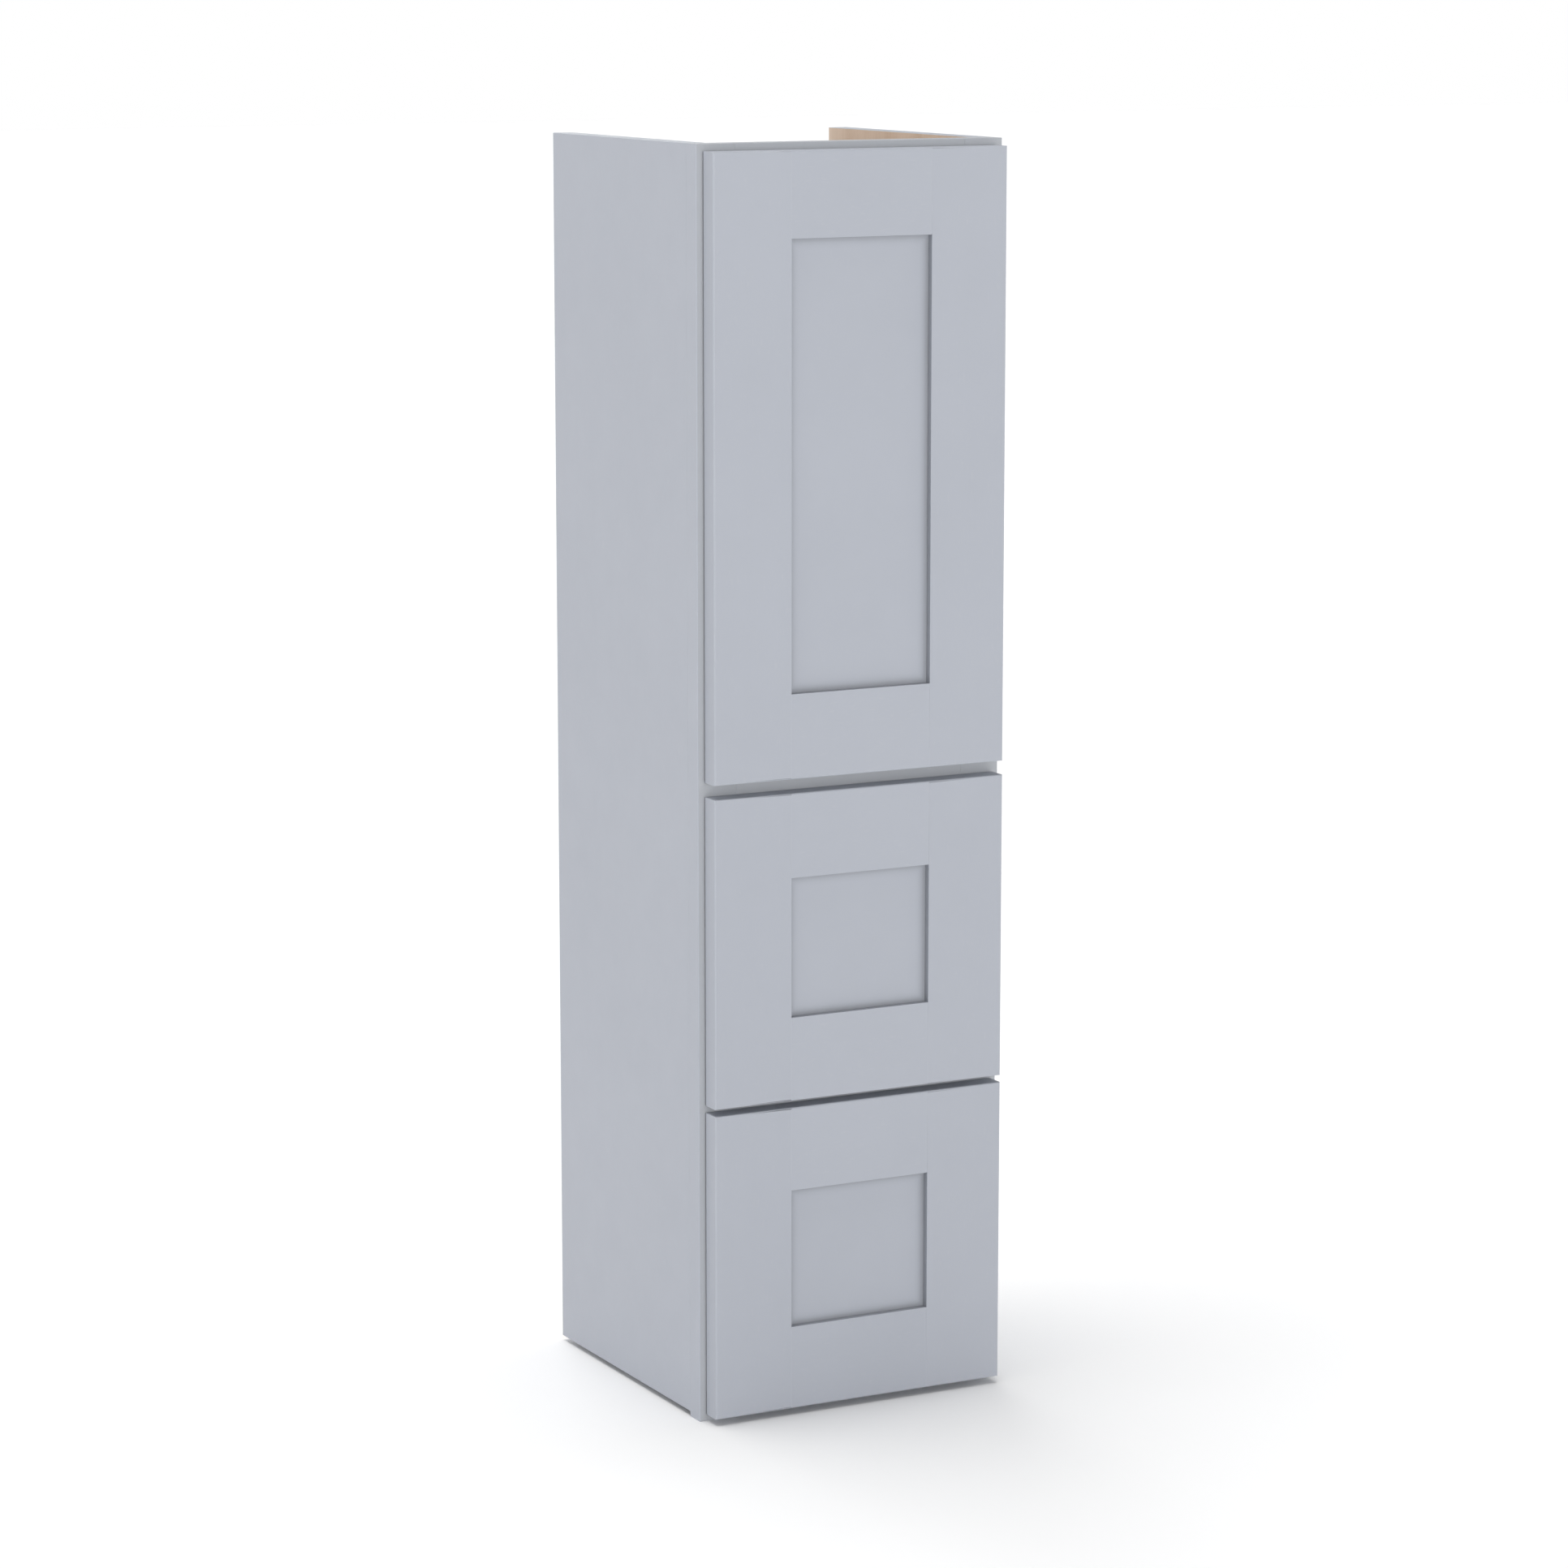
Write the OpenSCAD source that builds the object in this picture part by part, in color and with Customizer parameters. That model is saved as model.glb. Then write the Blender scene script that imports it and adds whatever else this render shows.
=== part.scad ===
// Tall pantry cabinet: one framed door over two framed drawers on a face frame.
// Millimetres. X runs across the front, Y from the front to the back, Z up.
// The origin is the middle of the underside of the cabinet's overall box.

/* [Overall] */
// Width of the face frame, side to side
cabinet_w = 304.8; // [250:0.1:620]
// Height of the face frame, foot to top
cabinet_h = 1143; // [950:0.1:1400]
// Depth from the front of the face frame to the rear edges of the sides
case_d = 292.1; // [240:0.1:620]

/* [Face frame] */
// Thickness of the face frame
frame_t = 19.05; // [15:0.05:25]
// Width of the face frame's stiles
stile_w = 38.1; // [32:0.1:60]
// Height of each face frame rail
rail_h = 38.1; // [30:0.1:60]
// How far the face frame reaches below the side panels
frame_drop = 4.76; // [0:0.01:20]
// Length of the tenons on the frame rails
tenon_l = 12.7; // [6:0.1:16]
// Thickness of the tenons on the frame rails
tenon_t = 6.35; // [4:0.05:10]

/* [Door and drawer faces] */
// Thickness of the door and drawer faces
face_t = 19.05; // [16:0.05:25]
// Gap that the bumpers keep between the faces and the frame
face_gap = 1.6; // [1.4:0.1:4]
// Strip of face frame left showing all round
reveal = 6.35; // [3:0.05:12]
// Height of one drawer face
drawer_face_h = 279.4; // [230:0.1:340]
// Gap between the two drawer faces
drawer_gap = 6.35; // [3:0.05:25]
// Gap between the door and the upper drawer face
door_gap = 12.7; // [3:0.05:25]
// Width of the stiles and rails of each face
member_w = 76.2; // [50:0.1:95]
// How far each flat panel sits back from its frame
panel_recess = 6.35; // [3:0.05:8]
// Thickness of the flat panels
panel_t = 6.35; // [4:0.05:8]
// Depth of the grooves that hold the flat panels
panel_groove = 9.525; // [5:0.005:12]
// Rounding of the outer front edges
edge_r = 1.6; // [0.5:0.1:4]

/* [Case] */
// Thickness of the side panels
side_t = 19.05; // [15:0.05:25]
// Thickness of the top, the bottom and the deck
deck_t = 12.7; // [9:0.1:14]
// How far the top panel lies below the top of the sides
well_d = 19.05; // [14:0.05:25]
// Thickness of the back panel
back_t = 6.35; // [4:0.05:10]
// Thickness of the hanging rails behind the back panel
hang_t = 19.05; // [12:0.05:25]
// Height of the hanging rails
hang_h = 76.2; // [50:0.1:120]
// Depth of the grooves in the side panels
dado_d = 6.35; // [4:0.05:8]
// Thickness of the tongue that joins a side panel to its stile
tongue_t = 9.525; // [6:0.005:12]
// Length of that tongue
tongue_l = 6.35; // [4:0.05:8]
// Thickness of the adjustable shelf
shelf_t = 15.875; // [12:0.005:20]
// Distance between shelf pin holes
pin_pitch = 32; // [25:1:50]
// Number of shelf pin holes in each row
pin_holes = 8; // [4:2:8]
// Diameter of the shelf pins
pin_d = 5; // [4:0.1:7]

/* [Drawer boxes] */
// Thickness of the drawer box sides, front and back
box_t = 15.875; // [12:0.005:19]
// Thickness of the drawer bottoms
box_bottom_t = 9.525; // [5:0.005:12]
// Height of a drawer bottom's underside above the edge of the box
bottom_lift = 12.7; // [11:0.1:15]
// Gap between a drawer box and each side of its opening
box_side_clear = 4.76; // [4:0.01:8]
// Gap under a drawer box
box_lift = 14.3; // [14:0.1:20]
// Gap over the lower drawer box
box_top_clear = 27; // [8:0.1:60]
// Space left behind a drawer box
box_rear_clear = 39.7; // [30:0.1:80]
// Depth of the grooves that hold a drawer bottom
box_groove = 6.35; // [4:0.05:8]
// Spacing of the dovetails
tail_pitch = 47.6; // [30:0.1:60]
// Height of a dovetail pin at its narrow end
pin_tip = 7; // [4:0.1:12]

/* [Hidden] */
$fn = 64;
// Wood fits: what a tenon, tongue or panel is shorter than its groove
fit_end = 0.3;
// Radial running clearance of pins, shanks and the hinge links
fit_pin = 0.05;
// What a cut goes past the face that it opens
past = 1;

// Places across, from front to back and up
total_d = face_t + face_gap + case_d;
y_front = -total_d / 2;
y_door_back = y_front + face_t;
y_frame = y_door_back + face_gap;
y_case = y_frame + frame_t;
y_rear = total_d / 2;
y_rail = y_rear - hang_t;
y_back = y_rail - back_t;
x_in = cabinet_w / 2 - side_t;
x_open = cabinet_w / 2 - stile_w;
x_face = cabinet_w / 2 - reveal;
top_z = cabinet_h - well_d - deck_t;
bottom_z = rail_h - deck_t;

// Heights of the faces, each as its lowest and highest edge
lower_face = [reveal, reveal + drawer_face_h];
upper_face = [lower_face[1] + drawer_gap, lower_face[1] + drawer_gap + drawer_face_h];
door_face = [upper_face[1] + door_gap, cabinet_h - reveal];
// Frame rails: the feet of the bottom, drawer, middle and top rails
drawer_rail_z = lower_face[1] + drawer_gap / 2 - rail_h / 2;
middle_rail_z = upper_face[1] + door_gap / 2 - rail_h / 2;
top_rail_z = cabinet_h - rail_h;
rail_feet = [0, drawer_rail_z, middle_rail_z, top_rail_z];
deck_z = middle_rail_z + rail_h - deck_t;
// Openings in the frame: the feet of the lower and upper drawer openings
lower_open = rail_h;
upper_open = drawer_rail_z + rail_h;

// Shelf pins
pin_hole_l = 10;
pin_row_in = 50.8;
pin_middle = (deck_z + deck_t + top_z) / 2;
function pin_z(i) = pin_middle + (i - (pin_holes - 1) / 2) * pin_pitch;
pin_rows = [y_case + pin_row_in, y_back - pin_row_in];
shelf_hole = pin_holes / 2;
spoon_h = 4;
shelf_z = pin_z(shelf_hole) + spoon_h;
shelf_side_clear = 1.5;
shelf_set_back = 12.7;

// Drawer boxes
box_l = y_back - y_door_back - box_rear_clear;
box_h = drawer_rail_z - rail_h - box_lift - box_top_clear;
box_x = x_open - box_side_clear;
box_y = [y_door_back, y_door_back + box_l];
tails = max(2, round(box_h / tail_pitch));
tail_slope = tan(8);
// Each drawer: name, face heights, foot of its opening
DRAWERS = [
    ["drawer_lower", lower_face, lower_open],
    ["drawer_upper", upper_face, upper_open],
];

// Drawer slides, across from the edge of the opening and up from its foot
slide_side_gap = 3;
slide_in = box_side_clear + box_t + slide_side_gap;
slide_w = 24;
slide_wall = 1.5;
slide_base = 1;
slide_channel_h = 12;
slide_mid_gap = 1.5;
slide_mid_wall = 1.4;
slide_top = box_lift + bottom_lift;
slide_cap_foot = 13.5;
lock_l = 30;
slide_y = box_y[0] + box_t + 2;
slide_travel_y = slide_y + lock_l;
bracket_ear = 9;
bracket_screw_out = 5;

// Hinges: u runs in from the door's edge, v back from the rear face of the door
hinge_in = 88.9;
cup_r = 17.5;
cup_u = 23.5;
cup_l = 11.2;
cup_wall = 1.2;
cup_floor = 0.8;
flange_t = 0.8;
flange_screw = [33, 22.5];
arm_u = stile_w - reveal;
arm_t = 1.6;
cheek_z = 5.9;
cheek_t = 1.6;
link_z = 5.2;
link_w = 2.4;
link_pin_r = 0.9;
link_eye_r = 1.7;
link_pivot = [21.2, -7.6];
link_knee = [35.7, 1.2];
link_tip = [36.3, -7.9];
hinge_z = [door_face[0] + hinge_in, door_face[1] - hinge_in];

// Screws: shank radius, head radius, head height
arm_screw = [1.9, 3.3, 1.4];
cup_screw = [1.7, 3.3, flange_t];
slide_screw = [1.9, 3.4, 1.5];
face_screw = [2, 5, 2.4];
arm_screw_at = [10.5, 15.5];
slide_screw_y = [y_frame + 5, y_frame + 14];
slide_screw_z = 7;
face_screw_x = box_x - box_t - 8;
face_screw_l = 26;

// Finishes
PAINT = [0.72, 0.74, 0.77];
MAPLE = [0.84, 0.73, 0.58];
PLY = [0.78, 0.68, 0.55];
STEEL = [0.72, 0.73, 0.74];
NICKEL = [0.78, 0.76, 0.72];
PLASTIC = [0.45, 0.46, 0.48];
CLEAR = [0.88, 0.9, 0.9];

FRONT_PARTS = ["stile_left", "stile_right", "rail_top", "rail_bottom", "panel"];
BOX_PARTS = ["side_left", "side_right", "front", "back", "bottom"];
DRAWER_HARDWARE = ["screws", "bumpers", "locks", "slide_caps", "slide_middles"];

// ---- General shapes ----

// A box between two opposite corners
module block(lo, hi) {
    translate(lo) cube(hi - lo);
}

// Its children, and their mirror image across the middle plane
module both_sides() {
    children();
    mirror([1, 0, 0]) children();
}

// Its children on the chosen side: 1 is right, -1 is left
module on_side(side) {
    mirror([side < 0 ? 1 : 0, 0, 0]) children();
}

// What is cut off a square corner to round it, the corner at the origin
module corner_waste(r) {
    difference() {
        translate([-past, -past]) square(r + past);
        translate([r, r]) circle(r);
    }
}

// A screw along +Z: its head stands on the XY plane and its shank goes below
module screw(size, length) {
    tip = 2 * size[0];
    difference() {
        union() {
            cylinder(r = size[1], h = size[2]);
            translate([0, 0, tip - length]) cylinder(r = size[0], h = length - tip + size[2] / 2);
            translate([0, 0, -length]) cylinder(r1 = 0.3, r2 = size[0], h = tip);
        }
        for (a = [0, 90]) rotate([0, 0, a])
            translate([-size[1] * 0.55, -0.4, size[2] * 0.4]) cube([size[1] * 1.1, 0.8, size[2]]);
    }
}

// The hole that a screw's shank goes into, along -Z from the XY plane
module screw_hole(size, length) {
    translate([0, 0, -length - fit_end])
        cylinder(r = size[0] + fit_pin, h = length + fit_end + past);
}

// ---- Case ----

// The spaces for the top, the bottom and the deck in a right-hand side panel
module dado(z) {
    block([x_in - past, y_case, z], [x_in + dado_d, y_back, z + deck_t]);
}

// A right-hand side panel, with its tongue, grooves and shelf pin holes
module side_panel_shape() {
    difference() {
        union() {
            block([x_in, y_case, frame_drop], [x_in + side_t, y_rear, cabinet_h]);
            block(
                [x_in, y_case - tongue_l, frame_drop + deck_t],
                [x_in + tongue_t, y_case + past, cabinet_h - deck_t]
            );
        }
        for (z = [bottom_z, deck_z, top_z]) dado(z);
        block([x_in - past, y_back, bottom_z], [x_in + dado_d, y_rail, top_z + deck_t]);
        for (y = pin_rows) for (i = [0 : pin_holes - 1])
            translate([x_in - past, y, pin_z(i)]) rotate([0, 90, 0])
                cylinder(d = pin_d + 2 * fit_pin, h = pin_hole_l + past);
    }
}

module side_panel(side) {
    color(PAINT) on_side(side) side_panel_shape();
}

// A level panel let into both sides, with its underside at z
module level_panel(z) {
    half = x_in + dado_d - fit_end;
    color(PLY) block([-half, y_case, z], [half, y_back, z + deck_t]);
}

module back_panel() {
    half = x_in + dado_d - fit_end;
    color(PLY) difference() {
        block([-half, y_back, bottom_z], [half, y_rail, top_z + deck_t]);
        bracket_screw_holes();
    }
}

module hanging_rail(z) {
    color(PLY) block([-x_in, y_rail, z], [x_in, y_rear, z + hang_h]);
}

module shelf() {
    half = x_in - shelf_side_clear;
    color(PLY) block(
        [-half, y_case + shelf_set_back, shelf_z],
        [half, y_back - shelf_side_clear, shelf_z + shelf_t]
    );
}

// Four pins, each with a flat spoon that carries the shelf
module shelf_pins() {
    spoon_l = 9;
    spoon_w = 8;
    color(NICKEL) both_sides() for (y = pin_rows) translate([x_in, y, pin_z(shelf_hole)]) {
        rotate([0, 90, 0]) cylinder(d = pin_d, h = pin_hole_l - past);
        block([-spoon_l, -spoon_w / 2, 0], [0, spoon_w / 2, spoon_h]);
        block([-1.2, -spoon_w / 2, -spoon_w], [0, spoon_w / 2, spoon_h]);
    }
}

// ---- Face frame ----

// The tenon of a frame rail's right-hand end, or its mortise where extra is over 0
module rail_tenon(foot, extra) {
    shoulder = tenon_t;
    y = (y_frame + y_case) / 2;
    block(
        [x_open - past, y - tenon_t / 2, foot + shoulder],
        [x_open + tenon_l + extra, y + tenon_t / 2, foot + rail_h - shoulder]
    );
}

module frame_rail(foot) {
    color(PAINT) union() {
        block([-x_open, y_frame, foot], [x_open, y_case, foot + rail_h]);
        both_sides() rail_tenon(foot, 0);
    }
}

// A right-hand stile, with its mortises and the groove for the side panel's tongue
module stile_shape() {
    difference() {
        block([x_open, y_frame, 0], [cabinet_w / 2, y_case, cabinet_h]);
        for (foot = rail_feet) rail_tenon(foot, fit_end);
        block(
            [x_in, y_case - tongue_l - fit_end, frame_drop + deck_t - fit_end],
            [x_in + tongue_t, y_case + past, cabinet_h - deck_t + fit_end]
        );
        for (d = DRAWERS) at_slide(d) frame_screws() screw_hole(slide_screw, 12);
    }
}

module frame_stile_left() {
    color(PAINT) mirror([1, 0, 0]) stile_shape();
}

module frame_stile_right() {
    color(PAINT) difference() {
        stile_shape();
        at_hinges() arm_screws_at() screw_hole(arm_screw, 12);
    }
}

// ---- Framed faces of the door and the drawers ----

// The whole outside of a face between two heights, its outer front edges rounded
module face_outside(face) {
    intersection() {
        translate([0, 0, face[0]]) linear_extrude(face[1] - face[0]) difference() {
            translate([-x_face, y_front]) square([2 * x_face, face_t]);
            for (m = [0, 1]) mirror([m, 0]) translate([-x_face, y_front]) corner_waste(edge_r);
        }
        rotate([90, 0, 90]) linear_extrude(2 * x_face, center = true) difference() {
            translate([y_front, face[0]]) square([face_t, face[1] - face[0]]);
            translate([y_front, face[0]]) corner_waste(edge_r);
            translate([y_front, face[1]]) mirror([0, 1]) corner_waste(edge_r);
        }
    }
}

// The groove for a panel, as a slab between two corners given in X and Z
module panel_slot(lo, hi) {
    y = y_front + panel_recess;
    block([lo[0], y, lo[1]], [hi[0], y + panel_t, hi[1]]);
}

// A face's stile: its groove runs from end to end and also holds the rails' tongues
module face_stile_shape(face, side) {
    inner = x_face - member_w;
    on_side(side) difference() {
        intersection() {
            face_outside(face);
            block([inner, y_front - past, face[0]], [x_face, y_door_back, face[1]]);
        }
        panel_slot([inner - past, face[0] - past], [inner + panel_groove, face[1] + past]);
    }
}

// A face's rail: up is 1 for the top rail and -1 for the bottom rail
module face_rail_shape(face, up) {
    inner = x_face - member_w;
    tongue = inner + panel_groove - fit_end;
    outer_z = up > 0 ? face[1] : face[0];
    inner_z = outer_z - up * member_w;
    groove_z = inner_z + up * panel_groove;
    low = min(outer_z, inner_z);
    high = max(outer_z, inner_z);
    difference() {
        union() {
            intersection() {
                face_outside(face);
                block([-inner, y_front - past, low], [inner, y_door_back, high]);
            }
            panel_slot([-tongue, low], [tongue, high]);
        }
        panel_slot(
            [-tongue - past, min(inner_z - up * past, groove_z)],
            [tongue + past, max(inner_z - up * past, groove_z)]
        );
    }
}

module face_panel_shape(face) {
    half = x_face - member_w + panel_groove - fit_end;
    inset = member_w - panel_groove + fit_end;
    panel_slot([-half, face[0] + inset], [half, face[1] - inset]);
}

// ---- Door ----

module door_stile_left() {
    color(PAINT) face_stile_shape(door_face, -1);
}

module door_stile_right() {
    color(PAINT) difference() {
        face_stile_shape(door_face, 1);
        at_hinges() {
            translate([cup_u, 0, 0]) rotate([90, 0, 0])
                translate([0, 0, -past]) cylinder(r = cup_r, h = cup_l + fit_end + past);
            cup_screws_at() screw_hole(cup_screw, 10);
        }
    }
}

module door_rail(up) {
    color(PAINT) face_rail_shape(door_face, up);
}

module door_panel() {
    color(PAINT) face_panel_shape(door_face);
}

// Bumpers on the back of a face, at the given distances in from its edges
module bumpers(face, sides) {
    bumper_r = 4;
    inset = 14;
    color(CLEAR) for (side = sides) for (z = [face[0] + inset, face[1] - inset])
        translate([side * (x_face - inset), y_door_back, z]) rotate([-90, 0, 0])
            cylinder(r1 = bumper_r, r2 = bumper_r - 0.8, h = face_gap - 0.1);
}

// ---- Hinges ----

// Its children at both hinges, with X as u, Y as v and Z up from the hinge's middle
module at_hinges() {
    for (z = hinge_z) translate([x_face, y_door_back, z]) mirror([1, 0, 0]) children();
}

// Its children at the two screws of a hinge arm, with +Z away from the stile's edge
module arm_screws_at() {
    for (z = [-1, 1] * arm_screw_at[1]) translate([arm_u, face_gap + arm_screw_at[0], z])
        rotate([0, 90, 0]) children();
}

// Its children at the two screws of a hinge cup, with +Z away from the door
module cup_screws_at() {
    for (z = [-1, 1] * flange_screw[1]) translate([flange_screw[0], 0, z])
        rotate([-90, 0, 0]) children();
}

// One side cheek of a hinge arm, seen from above
module cheek_outline() {
    inner = arm_u + arm_t;
    outer = inner + 4;
    translate(link_pivot) circle(link_eye_r);
    polygon([
        link_pivot + [0, link_eye_r],
        [inner, -1.6],
        [inner, frame_t - 4],
        [outer, frame_t - 8],
        [outer, -3],
        [outer - 2.5, -6.5],
        link_pivot - [0, link_eye_r]
    ]);
}

// The fixed part of each hinge: a plate on the stile's edge and a forked neck
module hinge_arms() {
    outer = arm_u + arm_t + 4;
    color(NICKEL) at_hinges() difference() {
        union() {
            block([arm_u, face_gap + 2, -23], [arm_u + arm_t, face_gap + frame_t - 1, 23]);
            for (z = [-cheek_z - cheek_t, cheek_z]) translate([0, 0, z])
                linear_extrude(cheek_t) cheek_outline();
            block([outer - 1.4, 3.2, -cheek_z - past], [outer, frame_t - 8, cheek_z + past]);
            translate([link_pivot[0], link_pivot[1], -cheek_z - past])
                cylinder(r = link_pin_r, h = 2 * (cheek_z + past));
        }
        arm_screws_at() translate([0, 0, -past])
            cylinder(r = arm_screw[0] + fit_pin, h = arm_t + 2 * past);
    }
}

module hinge_arm_screws() {
    color(STEEL) at_hinges() arm_screws_at()
        translate([0, 0, arm_t]) screw(arm_screw, 12);
}

// A straight bar from one point to another, seen from above, with round ends
module bar(a, b, w) {
    run = b - a;
    translate(a) rotate(atan2(run[1], run[0])) translate([0, -w / 2]) square([norm(run), w]);
    translate(a) circle(d = w);
    translate(b) circle(d = w);
}

// The hooked link of each hinge, which turns on the arm's pin
module hinge_links() {
    color(NICKEL) at_hinges() translate([0, 0, -link_z]) linear_extrude(2 * link_z) difference() {
        union() {
            translate(link_pivot) circle(link_eye_r);
            bar(link_pivot, link_knee, link_w);
            bar(link_knee, link_tip, link_w);
        }
        translate(link_pivot) circle(link_pin_r + fit_pin);
    }
}

// The cups let into the back of the door, with a flat flange and two ears
module hinge_cups() {
    ear_r = 6;
    color(NICKEL) at_hinges() difference() {
        union() {
            translate([cup_u, flange_t, 0]) rotate([90, 0, 0])
                cylinder(r = cup_r - 0.1, h = cup_l + flange_t);
            rotate([-90, 0, 0]) linear_extrude(flange_t) {
                translate([cup_u, 0]) circle(cup_r + 2);
                translate([flange_screw[0] - ear_r, -flange_screw[1]])
                    square([2 * ear_r, 2 * flange_screw[1]]);
                for (z = [-1, 1] * flange_screw[1]) translate([flange_screw[0], z]) circle(ear_r);
            }
        }
        translate([cup_u, flange_t + past, 0]) rotate([90, 0, 0])
            cylinder(r = cup_r - cup_wall - 0.1, h = cup_l - cup_floor + flange_t + past);
        cup_screws_at() translate([0, 0, -past])
            cylinder(r = cup_screw[1] + fit_pin, h = flange_t + 2 * past);
    }
}

module hinge_cup_screws() {
    color(STEEL) at_hinges() cup_screws_at() screw(cup_screw, 10);
}

// ---- Drawer slides ----

// Its children at both slides of a drawer: X in from the opening's edge, Z up from its foot
module at_slide(drawer) {
    translate([x_open, 0, drawer[2]]) mirror([1, 0, 0]) children();
}

// Its children at a channel's two frame screws, with +Z away from the stile's edge
module frame_screws() {
    for (y = slide_screw_y) translate([0, y, slide_screw_z]) rotate([0, 90, 0]) children();
}

// Its children at a bracket's two screws, with +Z towards the front
module bracket_screws(drawer) {
    both_sides() at_slide(drawer) for (x = [-bracket_screw_out, slide_w + bracket_screw_out])
        translate([slide_in + x, y_back, slide_screw_z]) rotate([90, 0, 0]) children();
}

module bracket_screw_holes() {
    for (d = DRAWERS) bracket_screws(d)
        translate([0, 0, -back_t - past]) cylinder(r = slide_screw[0] + fit_pin, h = back_t + 2 * past);
}

// Fixed channels: a foot that reaches to the stile and an open trough
module slide_channels() {
    color(STEEL) for (d = DRAWERS) both_sides() at_slide(d) difference() {
        far = slide_in + slide_w;
        union() {
            block([0, y_frame + 1, slide_base], [far, box_y[1], slide_base + slide_wall]);
            block([0, y_frame + 1, slide_base], [slide_wall, y_case - 0.5, slide_channel_h]);
            for (x = [slide_in, far - slide_wall])
                block([x, slide_y, slide_base], [x + slide_wall, box_y[1], slide_channel_h]);
        }
        frame_screws() translate([0, 0, -past])
            cylinder(r = slide_screw[0] + fit_pin, h = slide_wall + 2 * past);
    }
}

// Rear sockets that carry the channels on the back panel
module slide_brackets() {
    color(PLASTIC) for (d = DRAWERS) both_sides() at_slide(d) difference() {
        far = slide_in + slide_w;
        union() {
            block([slide_in - 1, box_y[1], slide_base], [far + 1, y_back, slide_channel_h + 1]);
            block(
                [slide_in - bracket_ear, y_back - 2.5, slide_base],
                [far + bracket_ear, y_back, slide_channel_h + 1]
            );
        }
        block(
            [slide_in + slide_wall, box_y[1] - past, slide_base + slide_wall],
            [far - slide_wall, y_back - 2.5, slide_channel_h + 1 + past]
        );
        for (x = [-bracket_screw_out, slide_w + bracket_screw_out])
            translate([slide_in + x, y_back + past, slide_screw_z]) rotate([90, 0, 0])
                cylinder(r = slide_screw[0] + fit_pin, h = 2.5 + 2 * past);
    }
}

module slide_screws() {
    color(STEEL) for (d = DRAWERS) {
        both_sides() at_slide(d) frame_screws()
            translate([0, 0, slide_wall]) screw(slide_screw, 12);
        bracket_screws(d) translate([0, 0, 2.5]) screw(slide_screw, 2.5 + back_t - fit_end);
    }
}

// The members between the fixed channels and the drawer, which travel half as far
module slide_middles(drawer) {
    lo = [slide_in + slide_wall + slide_mid_gap, slide_base + slide_wall + slide_mid_gap];
    hi = [slide_in + slide_w - slide_wall - slide_mid_gap, slide_top - slide_wall - slide_mid_gap];
    wall = [slide_mid_wall, slide_mid_wall];
    color(STEEL) both_sides() at_slide(drawer) difference() {
        block([lo[0], slide_travel_y, lo[1]], [hi[0], box_y[1], hi[1]]);
        block(
            [lo[0] + wall[0], slide_travel_y - past, lo[1] + wall[1]],
            [hi[0] - wall[0], box_y[1] + past, hi[1] - wall[1]]
        );
    }
}

// The members fixed under the drawer: a cap over each middle member
module slide_caps(drawer) {
    lo = slide_in + 0.5;
    hi = slide_in + slide_w - 0.5;
    color(STEEL) both_sides() at_slide(drawer) {
        block([lo, slide_travel_y, slide_top - slide_wall], [hi, box_y[1], slide_top]);
        for (x = [lo, hi - slide_wall])
            block([x, slide_travel_y, slide_cap_foot], [x + slide_wall, box_y[1], slide_top]);
    }
}

// Locking clips behind the box front, each with a squeeze lever
module locks(drawer) {
    y = box_y[0] + box_t;
    color(PLASTIC) both_sides() at_slide(drawer) difference() {
        union() {
            block([slide_in, y, box_lift + 0.5], [slide_in + slide_w, y + lock_l, slide_top]);
            block([slide_in + slide_w - past, y + 4, box_lift + 3], [slide_in + slide_w + 14, y + 9, slide_top]);
            block(
                [slide_in + slide_w + 9, y + 4, box_lift + 3],
                [slide_in + slide_w + 14, y + 24, slide_top]
            );
        }
        block(
            [slide_in + 3, y + 12, box_lift - past],
            [slide_in + slide_w - 3, y + lock_l - 3, slide_top - 3]
        );
    }
}

// ---- Drawer boxes ----

// One corner's dovetails in Y and Z, from the end of a board whose foot is at z = 0
module tail_outlines() {
    pitch = box_h / tails;
    wide = (pitch - pin_tip) / 2;
    narrow = wide - box_t * tail_slope;
    for (i = [0 : tails - 1]) translate([0, (i + 0.5) * pitch])
        polygon([[0, -wide], [box_t, -narrow], [box_t, narrow], [0, wide]]);
}

// The dovetails at both ends of a drawer box's right-hand side
module side_tails(drawer) {
    z = drawer[2] + box_lift;
    translate([box_x - box_t, 0, z]) rotate([90, 0, 90]) linear_extrude(box_t) {
        translate([box_y[0], 0]) tail_outlines();
        translate([box_y[1], 0]) mirror([1, 0]) tail_outlines();
    }
}

// The drawer bottom as a slab, larger by more on every side
module bottom_slab(drawer, more) {
    z = drawer[2] + box_lift + bottom_lift;
    x = box_x - box_t + box_groove + more;
    y = box_groove - box_t + more;
    block([-x, box_y[0] - y, z], [x, box_y[1] + y, z + box_bottom_t]);
}

module box_side(drawer, side) {
    z = drawer[2] + box_lift;
    color(MAPLE) on_side(side) difference() {
        union() {
            block([box_x - box_t, box_y[0] + box_t, z], [box_x, box_y[1] - box_t, z + box_h]);
            side_tails(drawer);
        }
        bottom_slab(drawer, 0);
    }
}

// A drawer box's front or back board, between the given planes, with its dovetail pins
module box_end(drawer, y) {
    z = drawer[2] + box_lift;
    difference() {
        block([-box_x, y, z], [box_x, y + box_t, z + box_h]);
        both_sides() side_tails(drawer);
        bottom_slab(drawer, 0);
    }
}

module box_front(drawer) {
    color(MAPLE) difference() {
        box_end(drawer, box_y[0]);
        face_screws_at(drawer) translate([0, 0, -box_t - past])
            cylinder(r = face_screw[0] + fit_pin, h = box_t + 2 * past);
    }
}

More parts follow.
